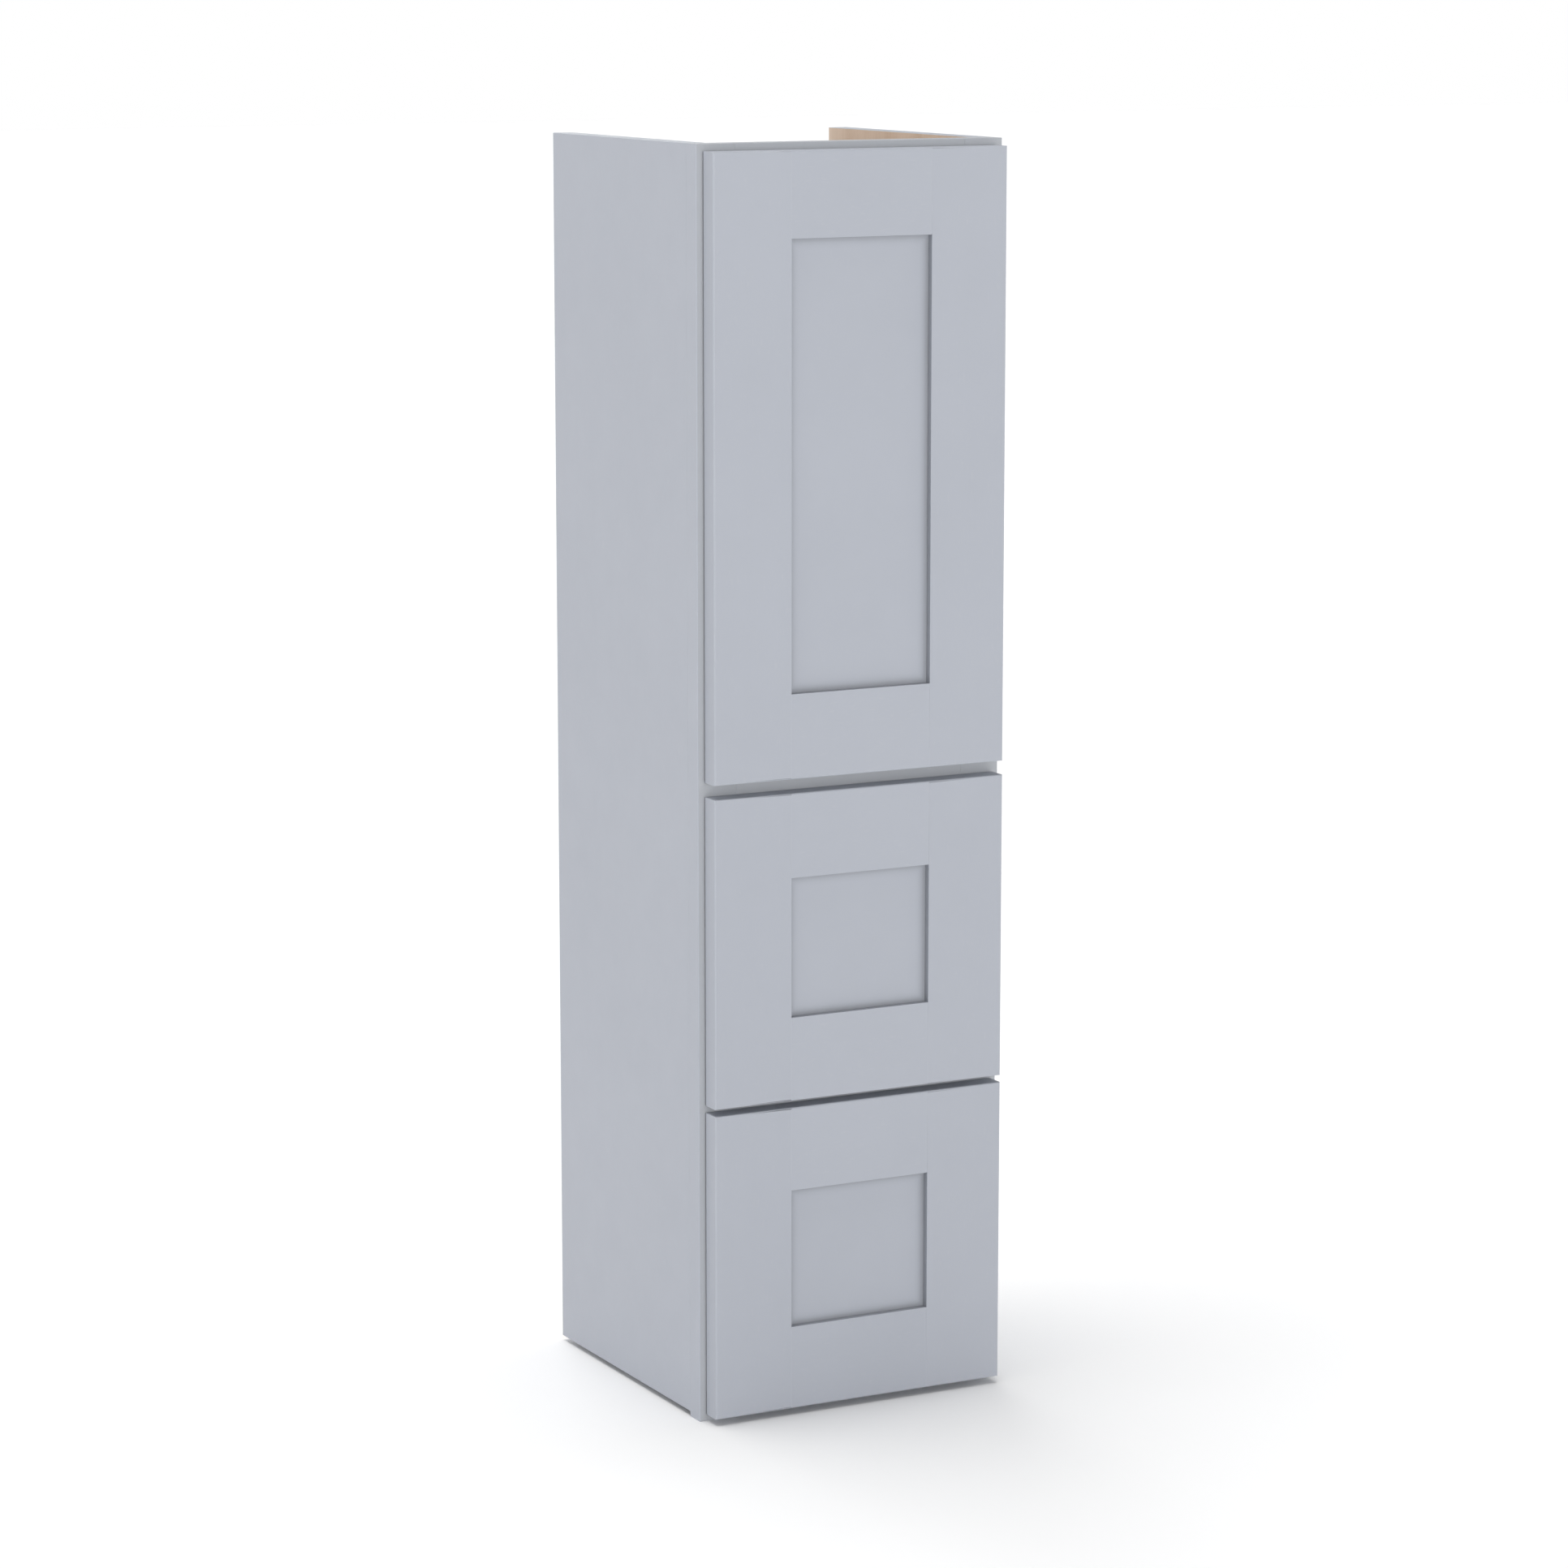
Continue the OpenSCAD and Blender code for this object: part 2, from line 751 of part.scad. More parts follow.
// The back is notched at both sides for the slides
module box_back(drawer) {
    z = drawer[2] + box_lift;
    y = box_y[1] - box_t;
    color(MAPLE) difference() {
        box_end(drawer, y);
        both_sides() at_slide(drawer) block(
            [slide_in, y - past, box_lift - past],
            [slide_in + slide_w + 2, y + box_t + past, slide_top]
        );
    }
}

module box_bottom(drawer) {
    color(PLY) bottom_slab(drawer, -fit_end);
}

// Its children at a drawer's face screws, with +Z towards the back
module face_screws_at(drawer) {
    z = drawer[2] + box_lift;
    for (x = [-1, 1] * face_screw_x) for (up = [0.35, 0.8])
        translate([x, box_y[0] + box_t, z + up * box_h]) rotate([-90, 0, 0]) children();
}

module face_screws(drawer) {
    color(STEEL) face_screws_at(drawer) screw(face_screw, face_screw_l);
}

module drawer_face_stile(drawer, side) {
    color(PAINT) difference() {
        face_stile_shape(drawer[1], side);
        face_screws_at(drawer) screw_hole(face_screw, face_screw_l);
    }
}

module drawer_face_rail(drawer, up) {
    color(PAINT) face_rail_shape(drawer[1], up);
}

module drawer_face_panel(drawer) {
    color(PAINT) face_panel_shape(drawer[1]);
}

// ---- The nodes ----

side_panel(-1);  // side_panel_left
side_panel(1);  // side_panel_right
level_panel(top_z);  // top_panel
level_panel(bottom_z);  // bottom_panel
level_panel(deck_z);  // deck
back_panel();
hanging_rail(top_z + deck_t - hang_h);  // hanging_rail_upper
hanging_rail(bottom_z);  // hanging_rail_lower
shelf();
shelf_pins();
frame_stile_left();
frame_stile_right();
frame_rail(top_rail_z);  // frame_rail_top
frame_rail(middle_rail_z);  // frame_rail_middle
frame_rail(drawer_rail_z);  // frame_rail_drawers
frame_rail(0);  // frame_rail_bottom
hinge_arms();
hinge_arm_screws();
hinge_links();
slide_channels();
slide_brackets();
slide_screws();
door_stile_left();
door_stile_right();
door_rail(1);  // door_rail_top
door_rail(-1);  // door_rail_bottom
door_panel();
hinge_cups();
hinge_cup_screws();
bumpers(door_face, [-1]);  // door_bumpers
for (d = DRAWERS) {
    drawer_face_stile(d, -1);
    drawer_face_stile(d, 1);
    drawer_face_rail(d, 1);
    drawer_face_rail(d, -1);
    drawer_face_panel(d);
    box_side(d, -1);
    box_side(d, 1);
    box_front(d);
    box_back(d);
    box_bottom(d);
    face_screws(d);
    bumpers(d[1], [-1, 1]);
    locks(d);
    slide_caps(d);
    slide_middles(d);
}
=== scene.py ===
"""A tall pantry cabinet: one framed door over two framed drawers, on a face frame.

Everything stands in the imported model's frame, in metres: X runs across the front, Y from
the front to the back and Z up, with the origin under the middle of the cabinet.
"""

from __future__ import annotations

import logging
import math
from collections.abc import Callable, Iterator, Sequence
from contextlib import contextmanager
from dataclasses import dataclass
from enum import Enum

import bmesh
import bpy
from mathutils import Matrix, Vector

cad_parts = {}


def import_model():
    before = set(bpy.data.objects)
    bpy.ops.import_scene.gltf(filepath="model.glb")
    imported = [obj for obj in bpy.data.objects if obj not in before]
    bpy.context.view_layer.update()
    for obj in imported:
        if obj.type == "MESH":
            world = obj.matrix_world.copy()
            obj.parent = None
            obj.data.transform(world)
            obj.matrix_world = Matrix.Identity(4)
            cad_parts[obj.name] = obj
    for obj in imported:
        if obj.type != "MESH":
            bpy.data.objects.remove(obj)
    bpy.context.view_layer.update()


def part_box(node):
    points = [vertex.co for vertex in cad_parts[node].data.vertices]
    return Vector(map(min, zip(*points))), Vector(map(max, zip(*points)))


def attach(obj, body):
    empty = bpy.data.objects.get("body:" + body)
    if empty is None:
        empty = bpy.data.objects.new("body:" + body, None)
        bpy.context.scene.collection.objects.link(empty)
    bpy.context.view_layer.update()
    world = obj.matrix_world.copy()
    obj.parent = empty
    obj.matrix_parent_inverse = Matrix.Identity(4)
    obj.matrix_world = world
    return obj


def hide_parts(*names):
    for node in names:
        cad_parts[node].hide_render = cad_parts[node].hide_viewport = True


LOG = logging.getLogger("pantry")
MM = 0.001
TOUCH = 0.01 * MM  # two places closer than this are one place
WELD = 0.002 * MM  # corners closer than this are merged
NEAR = 2 * MM  # a face's middle this near a surface lies on it
SQUARE_ON = 0.9  # the least cosine of a face that looks along an axis
X, Y, Z = 0, 1, 2
AXES = (Vector((1, 0, 0)), Vector((0, 1, 0)), Vector((0, 0, 1)))

Tone = tuple[float, float, float, float]
FaceTest = Callable[[Vector, Vector], bool]
EdgeTest = Callable[[Vector, Vector], bool]
# how much painted shade a face's corner gets, 0 to 1, from the corner's place and the face's middle and
# normal
ShadeShare = Callable[[Vector, Vector, Vector], float]


def tone(code: int) -> Tone:
    """A linear colour with full alpha from a six-figure display colour.

    Args:
        code: the display colour, such as 0xB8BCC5.

    Returns:
        The colour as the shaders take it.
    """
    parts = [(code >> shift & 255) / 255 for shift in (16, 8, 0)]
    red, green, blue = (p / 12.92 if p <= 0.04045 else ((p + 0.055) / 1.055) ** 2.4 for p in parts)
    return red, green, blue, 1.0


def piece_name(node: str) -> str:
    """A piece's name from its node's.

    Args:
        node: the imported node, such as drawer_lower_locks.

    Returns:
        The name, such as Lower-drawer-locks.
    """
    words = node.split("_")
    if words[0] == "drawer":
        words[:2] = words[1], words[0]
    return "-".join(words).capitalize()


# ---- Node trees ----


class Graph:
    """Adds nodes to one tree and joins them as it goes."""

    ROWS = 4
    STEP = Vector((190, -230))

    def __init__(self, tree: bpy.types.NodeTree) -> None:
        """Starts on a tree that may already hold nodes."""
        self.tree = tree

    def add(
        self, kind: str, values: dict[str | int, object] | None = None, **settings: object
    ) -> bpy.types.Node:
        """Adds a node.

        Args:
            kind: the node's type name.
            values: what each input gets, a constant or another node's output.
            settings: the node's own properties.

        Returns:
            The node.
        """
        node = self.tree.nodes.new(kind)
        count = len(self.tree.nodes)
        node.location = (self.STEP.x * (count // self.ROWS), self.STEP.y * (count % self.ROWS))
        for key, value in settings.items():
            setattr(node, key, value)
        for key, value in (values or {}).items():
            self.feed(node.inputs[key], value)
        return node

    def feed(self, socket: bpy.types.NodeSocket, value: object) -> None:
        """Joins an output to a socket, or sets the socket's own value.

        Args:
            socket: the input to fill.
            value: a node's output or a constant.
        """
        if isinstance(value, bpy.types.NodeSocket):
            self.tree.links.new(value, socket)
        else:
            socket.default_value = value

    def math(
        self, operation: str, a: object, b: object = 0.0, clamp: bool = False
    ) -> bpy.types.NodeSocket:
        """The result of one sum on two values.

        Args:
            operation: the name of the sum.
            a: the first value.
            b: the second value.
            clamp: whether to keep the result between 0 and 1.

        Returns:
            The output.
        """
        node = self.add("ShaderNodeMath", {0: a, 1: b}, operation=operation, use_clamp=clamp)
        return node.outputs[0]

    def weigh(self, *parts: tuple[object, float], clamp: bool = False) -> bpy.types.NodeSocket:
        """The sum of several values, each times its weight.

        Args:
            parts: the values and their weights.
            clamp: whether to keep the sum between 0 and 1.

        Returns:
            The output.
        """
        total: object = 0.0
        for value, weight in parts:
            node = self.add("ShaderNodeMath", {0: value, 1: weight, 2: total}, operation="MULTIPLY_ADD")
            total = node.outputs[0]
        node.use_clamp = clamp
        return total

    def mix(self, share: object, a: object, b: object, kind: str = "RGBA") -> bpy.types.NodeSocket:
        """One colour or value blended into another.

        Args:
            share: how much of the second shows.
            a: the first.
            b: the second.
            kind: RGBA for colours, FLOAT for values.

        Returns:
            The output.
        """
        first, second, out = (6, 7, 2) if kind == "RGBA" else (2, 3, 0)
        return self.add("ShaderNodeMix", {0: share, first: a, second: b}, data_type=kind).outputs[out]

    def noise(
        self, vector: object, scale: object, detail: float, rough: float = 0.5
    ) -> bpy.types.NodeSocket:
        """A value between 0 and 1 that wanders from place to place.

        Args:
            vector: where it is read.
            scale: how many wanders there are to a metre.
            detail: how many finer layers it has.
            rough: how strong the finer layers are.

        Returns:
            The value output.
        """
        values = {"Vector": vector, "Scale": scale, "Detail": detail, "Roughness": rough}
        return self.add("ShaderNodeTexNoise", values).outputs["Fac"]

    def stretch(self, vector: object, scale: Sequence[float]) -> bpy.types.NodeSocket:
        """Coordinates drawn out along their axes.

        Args:
            vector: the coordinates.
            scale: what each axis is multiplied by.

        Returns:
            The vector output.
        """
        return self.add("ShaderNodeMapping", {"Vector": vector, "Scale": Vector(scale)}).outputs[0]

    def streaks(
        self, vector: object, drawn: float, scale: float, detail: float, rough: float = 0.5
    ) -> bpy.types.NodeSocket:
        """A value between 0 and 1 that wanders in streaks along X.

        Args:
            vector: where it is read.
            drawn: how fast it changes along X, as a share of its pace across.
            scale: how many streaks there are to a metre across.
            detail: how many finer layers it has.
            rough: how strong the finer layers are.

        Returns:
            The value output.
        """
        return self.noise(self.stretch(vector, (drawn, 1, 1)), scale, detail, rough)

    def span(
        self, value: object, low: float, high: float, to_low: float = 0.0, to_high: float = 1.0
    ) -> bpy.types.NodeSocket:
        """A value moved from one range to another, and held inside it.

        Args:
            value: the value to move.
            low: what becomes to_low.
            high: what becomes to_high.
            to_low: the start of the new range.
            to_high: the end of the new range.

        Returns:
            The value output.
        """
        limits = {1: low, 2: high, 3: to_low, 4: to_high}
        return self.add("ShaderNodeMapRange", {0: value, **limits}).outputs[0]


class Effect(Enum):
    """The surface effects that several finishes share, each built once as a node group."""

    EDGE_WEAR_AND_HIGHLIGHT = "Edge-rub"
    SPRAY_COAT = "Spray-coat"
    MAPLE_FIGURE = "Maple-figure"
    PLY_LAYERS = "Ply-layers"
    PLATED_SKIN = "Plated-skin"

    def tree(self) -> bpy.types.NodeTree:
        """The effect's node group, built the first time it is asked for."""
        return bpy.data.node_groups.get(self.value) or EFFECT_BUILDERS[self](self.value)


class GroupBench:
    """An empty node group with its sockets, ready for an effect's own nodes."""

    KINDS = {
        "Vector": "NodeSocketVector",
        "Color": "NodeSocketColor",
        "Light": "NodeSocketColor",
        "Dark": "NodeSocketColor",
    }

    def __init__(self, name: str, takes: Sequence[str], gives: Sequence[str]) -> None:
        """Makes the group.

        Args:
            name: the group's name.
            takes: the names of its inputs.
            gives: the names of its outputs.
        """
        self.group = bpy.data.node_groups.new(name, "ShaderNodeTree")
        for names, way in ((takes, "INPUT"), (gives, "OUTPUT")):
            for label in names:
                kind = self.KINDS.get(label, "NodeSocketFloat")
                self.group.interface.new_socket(label, in_out=way, socket_type=kind)
        self.graph = Graph(self.group)
        self.takes = self.graph.add("NodeGroupInput").outputs

    def close(self, results: dict[str, bpy.types.NodeSocket]) -> bpy.types.NodeTree:
        """Joins the results to the group's outputs.

        Args:
            results: each output's name and what feeds it.

        Returns:
            The finished group.
        """
        self.graph.add("NodeGroupOutput", results)
        return self.group


def build_edge_wear_and_highlight(name: str) -> bpy.types.NodeTree:
    """A mask of the outer edges, which the finishes lighten for wear from handling, and the paint also as
    a painted highlight.

    Args:
        name: the group's name.

    Returns:
        The node group.
    """
    bench = GroupBench(name, ["Vector", "Width", "Broken"], ["Mask"])
    graph, takes = bench.graph, bench.takes
    soft = graph.add("ShaderNodeBevel", {"Radius": takes["Width"]}, samples=4).outputs[0]
    true = graph.add("ShaderNodeNewGeometry").outputs["Normal"]
    facing_alike = graph.add("ShaderNodeVectorMath", {0: soft, 1: true}, operation="DOT_PRODUCT")
    edge = graph.span(facing_alike.outputs["Value"], 0.995, 0.86)
    patches = graph.span(graph.noise(takes["Vector"], 70, 3), 0.38, 0.66)
    kept = graph.math("SUBTRACT", 1.0, graph.math("MULTIPLY", patches, takes["Broken"]))
    return bench.close({"Mask": graph.math("MULTIPLY", edge, kept, clamp=True)})


def build_spray_coat(name: str) -> bpy.types.NodeTree:
    """The faint orange peel, thin and full patches, and dust nibs of a sprayed coat.

    Args:
        name: the group's name.

    Returns:
        The node group.
    """
    bench = GroupBench(name, ["Vector", "Peel"], ["Tone", "Roughness", "Height"])
    graph, vector = bench.graph, bench.takes["Vector"]
    peel = graph.noise(vector, bench.takes["Peel"], 1.5, 0.45)
    slow = graph.noise(vector, 5, 2)
    cloud = graph.noise(vector, 28, 3, 0.6)
    fine = graph.noise(vector, 1900, 1)
    specks = graph.add("ShaderNodeTexVoronoi", {"Vector": vector, "Scale": 95.0}).outputs["Distance"]
    nibs = graph.span(specks, 0.0, 0.05, 1.0, 0.0)
    thickness = graph.span(graph.weigh((slow, 0.65), (cloud, 0.35)), 0.3, 0.7)
    gloss = graph.span(graph.weigh((cloud, 0.7), (fine, 0.3)), 0.3, 0.7)
    height = graph.weigh((peel, 1.0), (nibs, 0.5))
    return bench.close({"Tone": thickness, "Roughness": gloss, "Height": height})


def build_maple_figure(name: str) -> bpy.types.NodeTree:
    """Maple along its local X: growth bands, fine fibre, pale flecks and short pores.

    Args:
        name: the group's name.

    Returns:
        The node group.
    """
    bench = GroupBench(name, ["Vector", "Bands", "Light", "Dark"], ["Color", "Pores", "Height"])
    graph, takes = bench.graph, bench.takes
    vector = takes["Vector"]
    long_way = graph.stretch(vector, (0.09, 1, 1))
    drift = graph.noise(long_way, 7, 2)
    place = graph.add("ShaderNodeSeparateXYZ", {0: long_way}).outputs
    across = graph.weigh((place["Y"], 1.0), (place["Z"], 1.0), (drift, 0.05))
    ring = graph.math("PINGPONG", graph.math("MULTIPLY", across, takes["Bands"]), 1.0)
    soft_ring = graph.math("POWER", ring, 2.2)
    fibre = graph.streaks(vector, 0.018, 620, 3, 0.62)
    streak = graph.streaks(vector, 0.03, 90, 3, 0.6)
    fleck = graph.streaks(vector, 0.22, 460, 1)
    pores = graph.span(graph.streaks(vector, 0.05, 1500, 1), 0.68, 0.8)
    bands = (soft_ring, 0.36), (graph.span(streak, 0.3, 0.75), 0.34)
    hairs = (graph.span(fibre, 0.3, 0.75), 0.22), (pores, 0.22)
    wood = graph.mix(graph.weigh(*bands, *hairs, clamp=True), takes["Light"], takes["Dark"])
    shine = graph.math("MULTIPLY", graph.span(fleck, 0.62, 0.8), 0.12)
    colour = graph.mix(shine, wood, (1.0, 0.93, 0.8, 1.0))
    height = graph.weigh((fibre, 1.0), (pores, -1.4))
    return bench.close({"Color": colour, "Pores": pores, "Height": height})


def build_ply_layers(name: str) -> bpy.types.NodeTree:
    """The cut edge of plywood: plies stacked along the local Z, with glue lines between.

    Args:
        name: the group's name.

    Returns:
        The node group.
    """
    bench = GroupBench(name, ["Vector", "Ply", "Light", "Dark"], ["Color", "Height"])
    graph, takes = bench.graph, bench.takes
    vector = takes["Vector"]
    up = graph.add("ShaderNodeSeparateXYZ", {0: vector}).outputs["Z"]
    level = graph.weigh((up, 1.0), (graph.noise(vector, 22, 2), 0.6 * MM))
    layer = graph.math("DIVIDE", level, takes["Ply"])
    number = graph.math("FLOOR", layer)
    part = graph.math("FRACT", layer)
    edge = graph.math("MINIMUM", part, graph.math("SUBTRACT", 1.0, part))
    glue = graph.span(edge, 0.0, 0.12, 1.0, 0.0)
    odd = graph.math("MODULO", graph.math("ABSOLUTE", number), 2.0)
    random = graph.add("ShaderNodeTexWhiteNoise", {"W": number}, noise_dimensions="1D").outputs["Value"]
    fibre = graph.noise(graph.stretch(vector, (0.06, 0.06, 1)), 1500, 2, 0.6)
    ends = graph.noise(vector, 2400, 2, 0.7)
    texture = graph.mix(odd, fibre, ends, "FLOAT")
    plies = (odd, 0.34), (random, 0.2), (graph.span(texture, 0.3, 0.75), 0.3)
    colour = graph.mix(graph.weigh(*plies, (glue, 0.35), clamp=True), takes["Light"], takes["Dark"])
    return bench.close({"Color": colour, "Height": graph.weigh((texture, 1.0), (glue, -0.6))})


def build_plated_skin(name: str) -> bpy.types.NodeTree:
    """Plated or moulded surfaces: drawn streaks along the local X, clouding and fine grain.

    Args:
        name: the group's name.

    Returns:
        The node group.
    """
    bench = GroupBench(name, ["Vector", "Streaks"], ["Tone", "Roughness", "Height"])
    graph, vector = bench.graph, bench.takes["Vector"]
    drawn = graph.streaks(vector, 0.03, 2600, 2, 0.6)
    grain = graph.noise(vector, 3400, 1)
    cloud = graph.noise(vector, 190, 3, 0.6)
    line = graph.mix(bench.takes["Streaks"], grain, drawn, "FLOAT")
    clouding = graph.span(cloud, 0.3, 0.72)
    gloss = graph.span(graph.weigh((cloud, 0.6), (line, 0.4)), 0.32, 0.68)
    return bench.close({"Tone": clouding, "Roughness": gloss, "Height": line})


EFFECT_BUILDERS = {
    Effect.EDGE_WEAR_AND_HIGHLIGHT: build_edge_wear_and_highlight,
    Effect.SPRAY_COAT: build_spray_coat,
    Effect.MAPLE_FIGURE: build_maple_figure,
    Effect.PLY_LAYERS: build_ply_layers,
    Effect.PLATED_SKIN: build_plated_skin,
}


# ---- Finishes ----


class Run(Enum):
    """The way that fibres, plies or drawn lines run, as the turn that lays them along X."""

    ACROSS = (0.0, 0.0, 0.0)
    DEEP = (0.0, 0.0, -math.pi / 2)
    UPRIGHT = (0.0, math.pi / 2, 0.0)


class Coat:
    """One material while its finish is laid on it."""

    def __init__(self, finish: Finish) -> None:
        """Starts the material and turns its coordinates.

        Args:
            finish: whose name, run and start it takes.
        """
        self.material = bpy.data.materials.new(finish.name)
        self.material.use_nodes = True
        self.graph = Graph(self.material.node_tree)
        self.shader = self.material.node_tree.nodes["Principled BSDF"].inputs
        place = self.graph.add("ShaderNodeTexCoord").outputs["Object"]
        turn = {"Vector": place, "Rotation": Vector(finish.run.value), "Location": Vector(finish.start)}
        self.vector = self.graph.add("ShaderNodeMapping", turn).outputs[0]

    def effect(self, effect: Effect, **values: object) -> bpy.types.NodeOutputs:
        """Places a shared effect on the turned coordinates.

        Args:
            effect: which effect.
            values: what its other inputs get.

        Returns:
            The effect's outputs.
        """
        given = {"Vector": self.vector, **values}
        return self.graph.add("ShaderNodeGroup", given, node_tree=effect.tree()).outputs

    def rub_and_highlight(self, width: float, broken: float = 0.5) -> bpy.types.NodeSocket:
        """Where the outer edges are lightened: wear from handling, and on the paint also a painted
        highlight.

        Args:
            width: how wide the lightened strips are, in metres.
            broken: how much of them is left alone, in patches.

        Returns:
            The mask.
        """
        return self.effect(Effect.EDGE_WEAR_AND_HIGHLIGHT, Width=width, Broken=broken)["Mask"]

    def colour(self, value: bpy.types.NodeSocket) -> None:
        """Lays the base colour."""
        self.graph.feed(self.shader["Base Color"], value)

    def roughness(self, value: bpy.types.NodeSocket) -> None:
        """Lays the roughness."""
        self.graph.feed(self.shader["Roughness"], value)

    def relief(self, height: bpy.types.NodeSocket, depth: float) -> None:
        """Gives the surface fine relief.

        Args:
            height: the relief, about 0 to 1.
            depth: how deep that is in metres.
        """
        bump = self.graph.add("ShaderNodeBump", {"Height": height, "Strength": 1.0, "Distance": depth})
        self.graph.feed(self.shader["Normal"], bump.outputs[0])


@dataclass(frozen=True)
class Finish:
    """One finish of the cabinet, and the material that shows it.

    Attributes:
        name: the material's name.
        run: the way that its figure runs.
        start: where its figure starts, so that two boards are not alike.
    """

    name: str
    run: Run = Run.ACROSS
    start: tuple[float, float, float] = (0.0, 0.0, 0.0)

    def material(self) -> bpy.types.Material:
        """The finish's material, built the first time that it is asked for.

        Returns:
            The material.
        """
        ready = bpy.data.materials.get(self.name)
        if ready:
            return ready
        coat = Coat(self)
        self.lay(coat)
        return coat.material

    def lay(self, coat: Coat) -> None:
        """Lays the finish on a material; each kind has its own way."""
        raise NotImplementedError


@dataclass(frozen=True)
class SatinPaint(Finish):
    """Sprayed satin paint, with the wood under it just showing through.

    Attributes:
        telegraph: how much of the grain under the paint shows, least on the flat panels.
        body: the colour of the full coat.
        thin: its colour where it is thin.
        rub_and_highlight: its colour on the outer edges, lighter partly for wear from handling and partly
            as a painted highlight.
        recess_shade_colour: the colour of the painted shade in the corners of recesses.
    """

    telegraph: float = 1.0
    body: int = 0xB0B4BD
    thin: int = 0xADB1BA
    rub_and_highlight: int = 0xBEC2CA
    recess_shade_colour: int = 0x6E6F71

    # the mesh attribute that holds how strong the painted shade is at each corner
    SHADE_ATTRIBUTE = "painted_shade"

    def lay(self, coat: Coat) -> None:
        """Lays paint over grain, with painted shade in the corners of recesses, and outer edges lighter
        partly for wear and partly as a painted highlight.

        Args:
            coat: the material.
        """
        graph, body, thin = coat.graph, tone(self.body), tone(self.thin)
        spray = coat.effect(Effect.SPRAY_COAT, Peel=420.0)
        grain = coat.effect(Effect.MAPLE_FIGURE, Bands=60.0, Light=body, Dark=thin)
        colour = graph.mix(spray["Tone"], body, thin)
        colour = graph.mix(0.2 * self.telegraph, colour, grain["Color"])
        # Painted shade: the paint goes towards a dark grey where the mesh attribute marks the corners of
        # a recess, a little unevenly.
        painted_shade = graph.add("ShaderNodeAttribute", attribute_name=self.SHADE_ATTRIBUTE).outputs["Fac"]
        uneven = graph.span(spray["Tone"], 0.0, 1.0, 0.36, 0.46)
        colour = graph.mix(graph.math("MULTIPLY", painted_shade, uneven), colour, tone(self.recess_shade_colour))
        # Outer edges lightened, partly wear from handling and partly a painted highlight.
        wear_and_highlight_mask = graph.math("MULTIPLY", coat.rub_and_highlight(1.1 * MM, 0.75), 0.5)
        coat.colour(graph.mix(wear_and_highlight_mask, colour, tone(self.rub_and_highlight)))
        gloss = graph.span(spray["Roughness"], 0.0, 1.0, 0.44, 0.54)
        coat.roughness(graph.weigh((gloss, 1.0), (wear_and_highlight_mask, -0.16)))
        height = graph.weigh((spray["Height"], 1.0), (grain["Height"], 0.35 * self.telegraph))
        coat.relief(height, 0.035 * MM)
        coat.shader["Specular IOR Level"].default_value = 0.42


@dataclass(frozen=True)
class ClearMaple(Finish):
    """Maple, solid or as veneer, under clear lacquer.

    Attributes:
        light: the pale wood.
        dark: the wood of the growth bands.
        bands: how many bands there are to a metre.
        rub_and_highlight: its colour on edges lightened by wear from handling.
    """

    light: int = 0xD3C1B0
    dark: int = 0xBBA38D
    bands: float = 42.0
    rub_and_highlight: int = 0xF0E2CC

    def lay(self, coat: Coat) -> None:
        """Lays lacquer over the wood.

        Args:
            coat: the material.
        """
        graph, light, dark = coat.graph, tone(self.light), tone(self.dark)
        wood = coat.effect(Effect.MAPLE_FIGURE, Bands=self.bands, Light=light, Dark=dark)
        spray = coat.effect(Effect.SPRAY_COAT, Peel=300.0)
        colour = graph.mix(graph.math("MULTIPLY", spray["Tone"], 0.16), wood["Color"], dark)
        wear_and_highlight_mask = graph.math("MULTIPLY", coat.rub_and_highlight(0.8 * MM, 0.6), 0.3)
        coat.colour(graph.mix(wear_and_highlight_mask, colour, tone(self.rub_and_highlight)))
        gloss = graph.span(spray["Roughness"], 0.0, 1.0, 0.4, 0.52)
        coat.roughness(graph.weigh((gloss, 1.0), (wood["Pores"], 0.1)))
        coat.relief(wood["Height"], 0.03 * MM)
        coat.shader["Coat Weight"].default_value = 0.12
        coat.shader["Coat Roughness"].default_value = 0.32


@dataclass(frozen=True)
class MapleEnd(Finish):
    """The end grain of solid maple, a little darker and duller.

    Attributes:
        light: the early wood.
        dark: the late wood and the pores.
        rub_and_highlight: its colour on edges lightened by wear from handling.
    """

    light: int = 0xCBB397
    dark: int = 0xA88C6D
    rub_and_highlight: int = 0xDBC8AE

    def lay(self, coat: Coat) -> None:
        """Lays growth rings cut across, with open pores.

        Args:
            coat: the material.
        """
        graph = coat.graph
        wave = {"Vector": coat.vector, "Scale": 75.0, "Distortion": 5.0}
        rings = graph.add("ShaderNodeTexWave", wave, wave_type="RINGS").outputs["Fac"]
        pores = graph.span(graph.noise(coat.vector, 3000, 2, 0.7), 0.5, 0.75)
        shade = graph.weigh((rings, 0.45), (pores, 0.5), clamp=True)
        colour = graph.mix(shade, tone(self.light), tone(self.dark))
        coat.colour(graph.mix(coat.rub_and_highlight(0.8 * MM), colour, tone(self.rub_and_highlight)))
        coat.roughness(graph.span(pores, 0.0, 1.0, 0.55, 0.72))
        coat.relief(graph.math("MULTIPLY", pores, -1.0), 0.04 * MM)


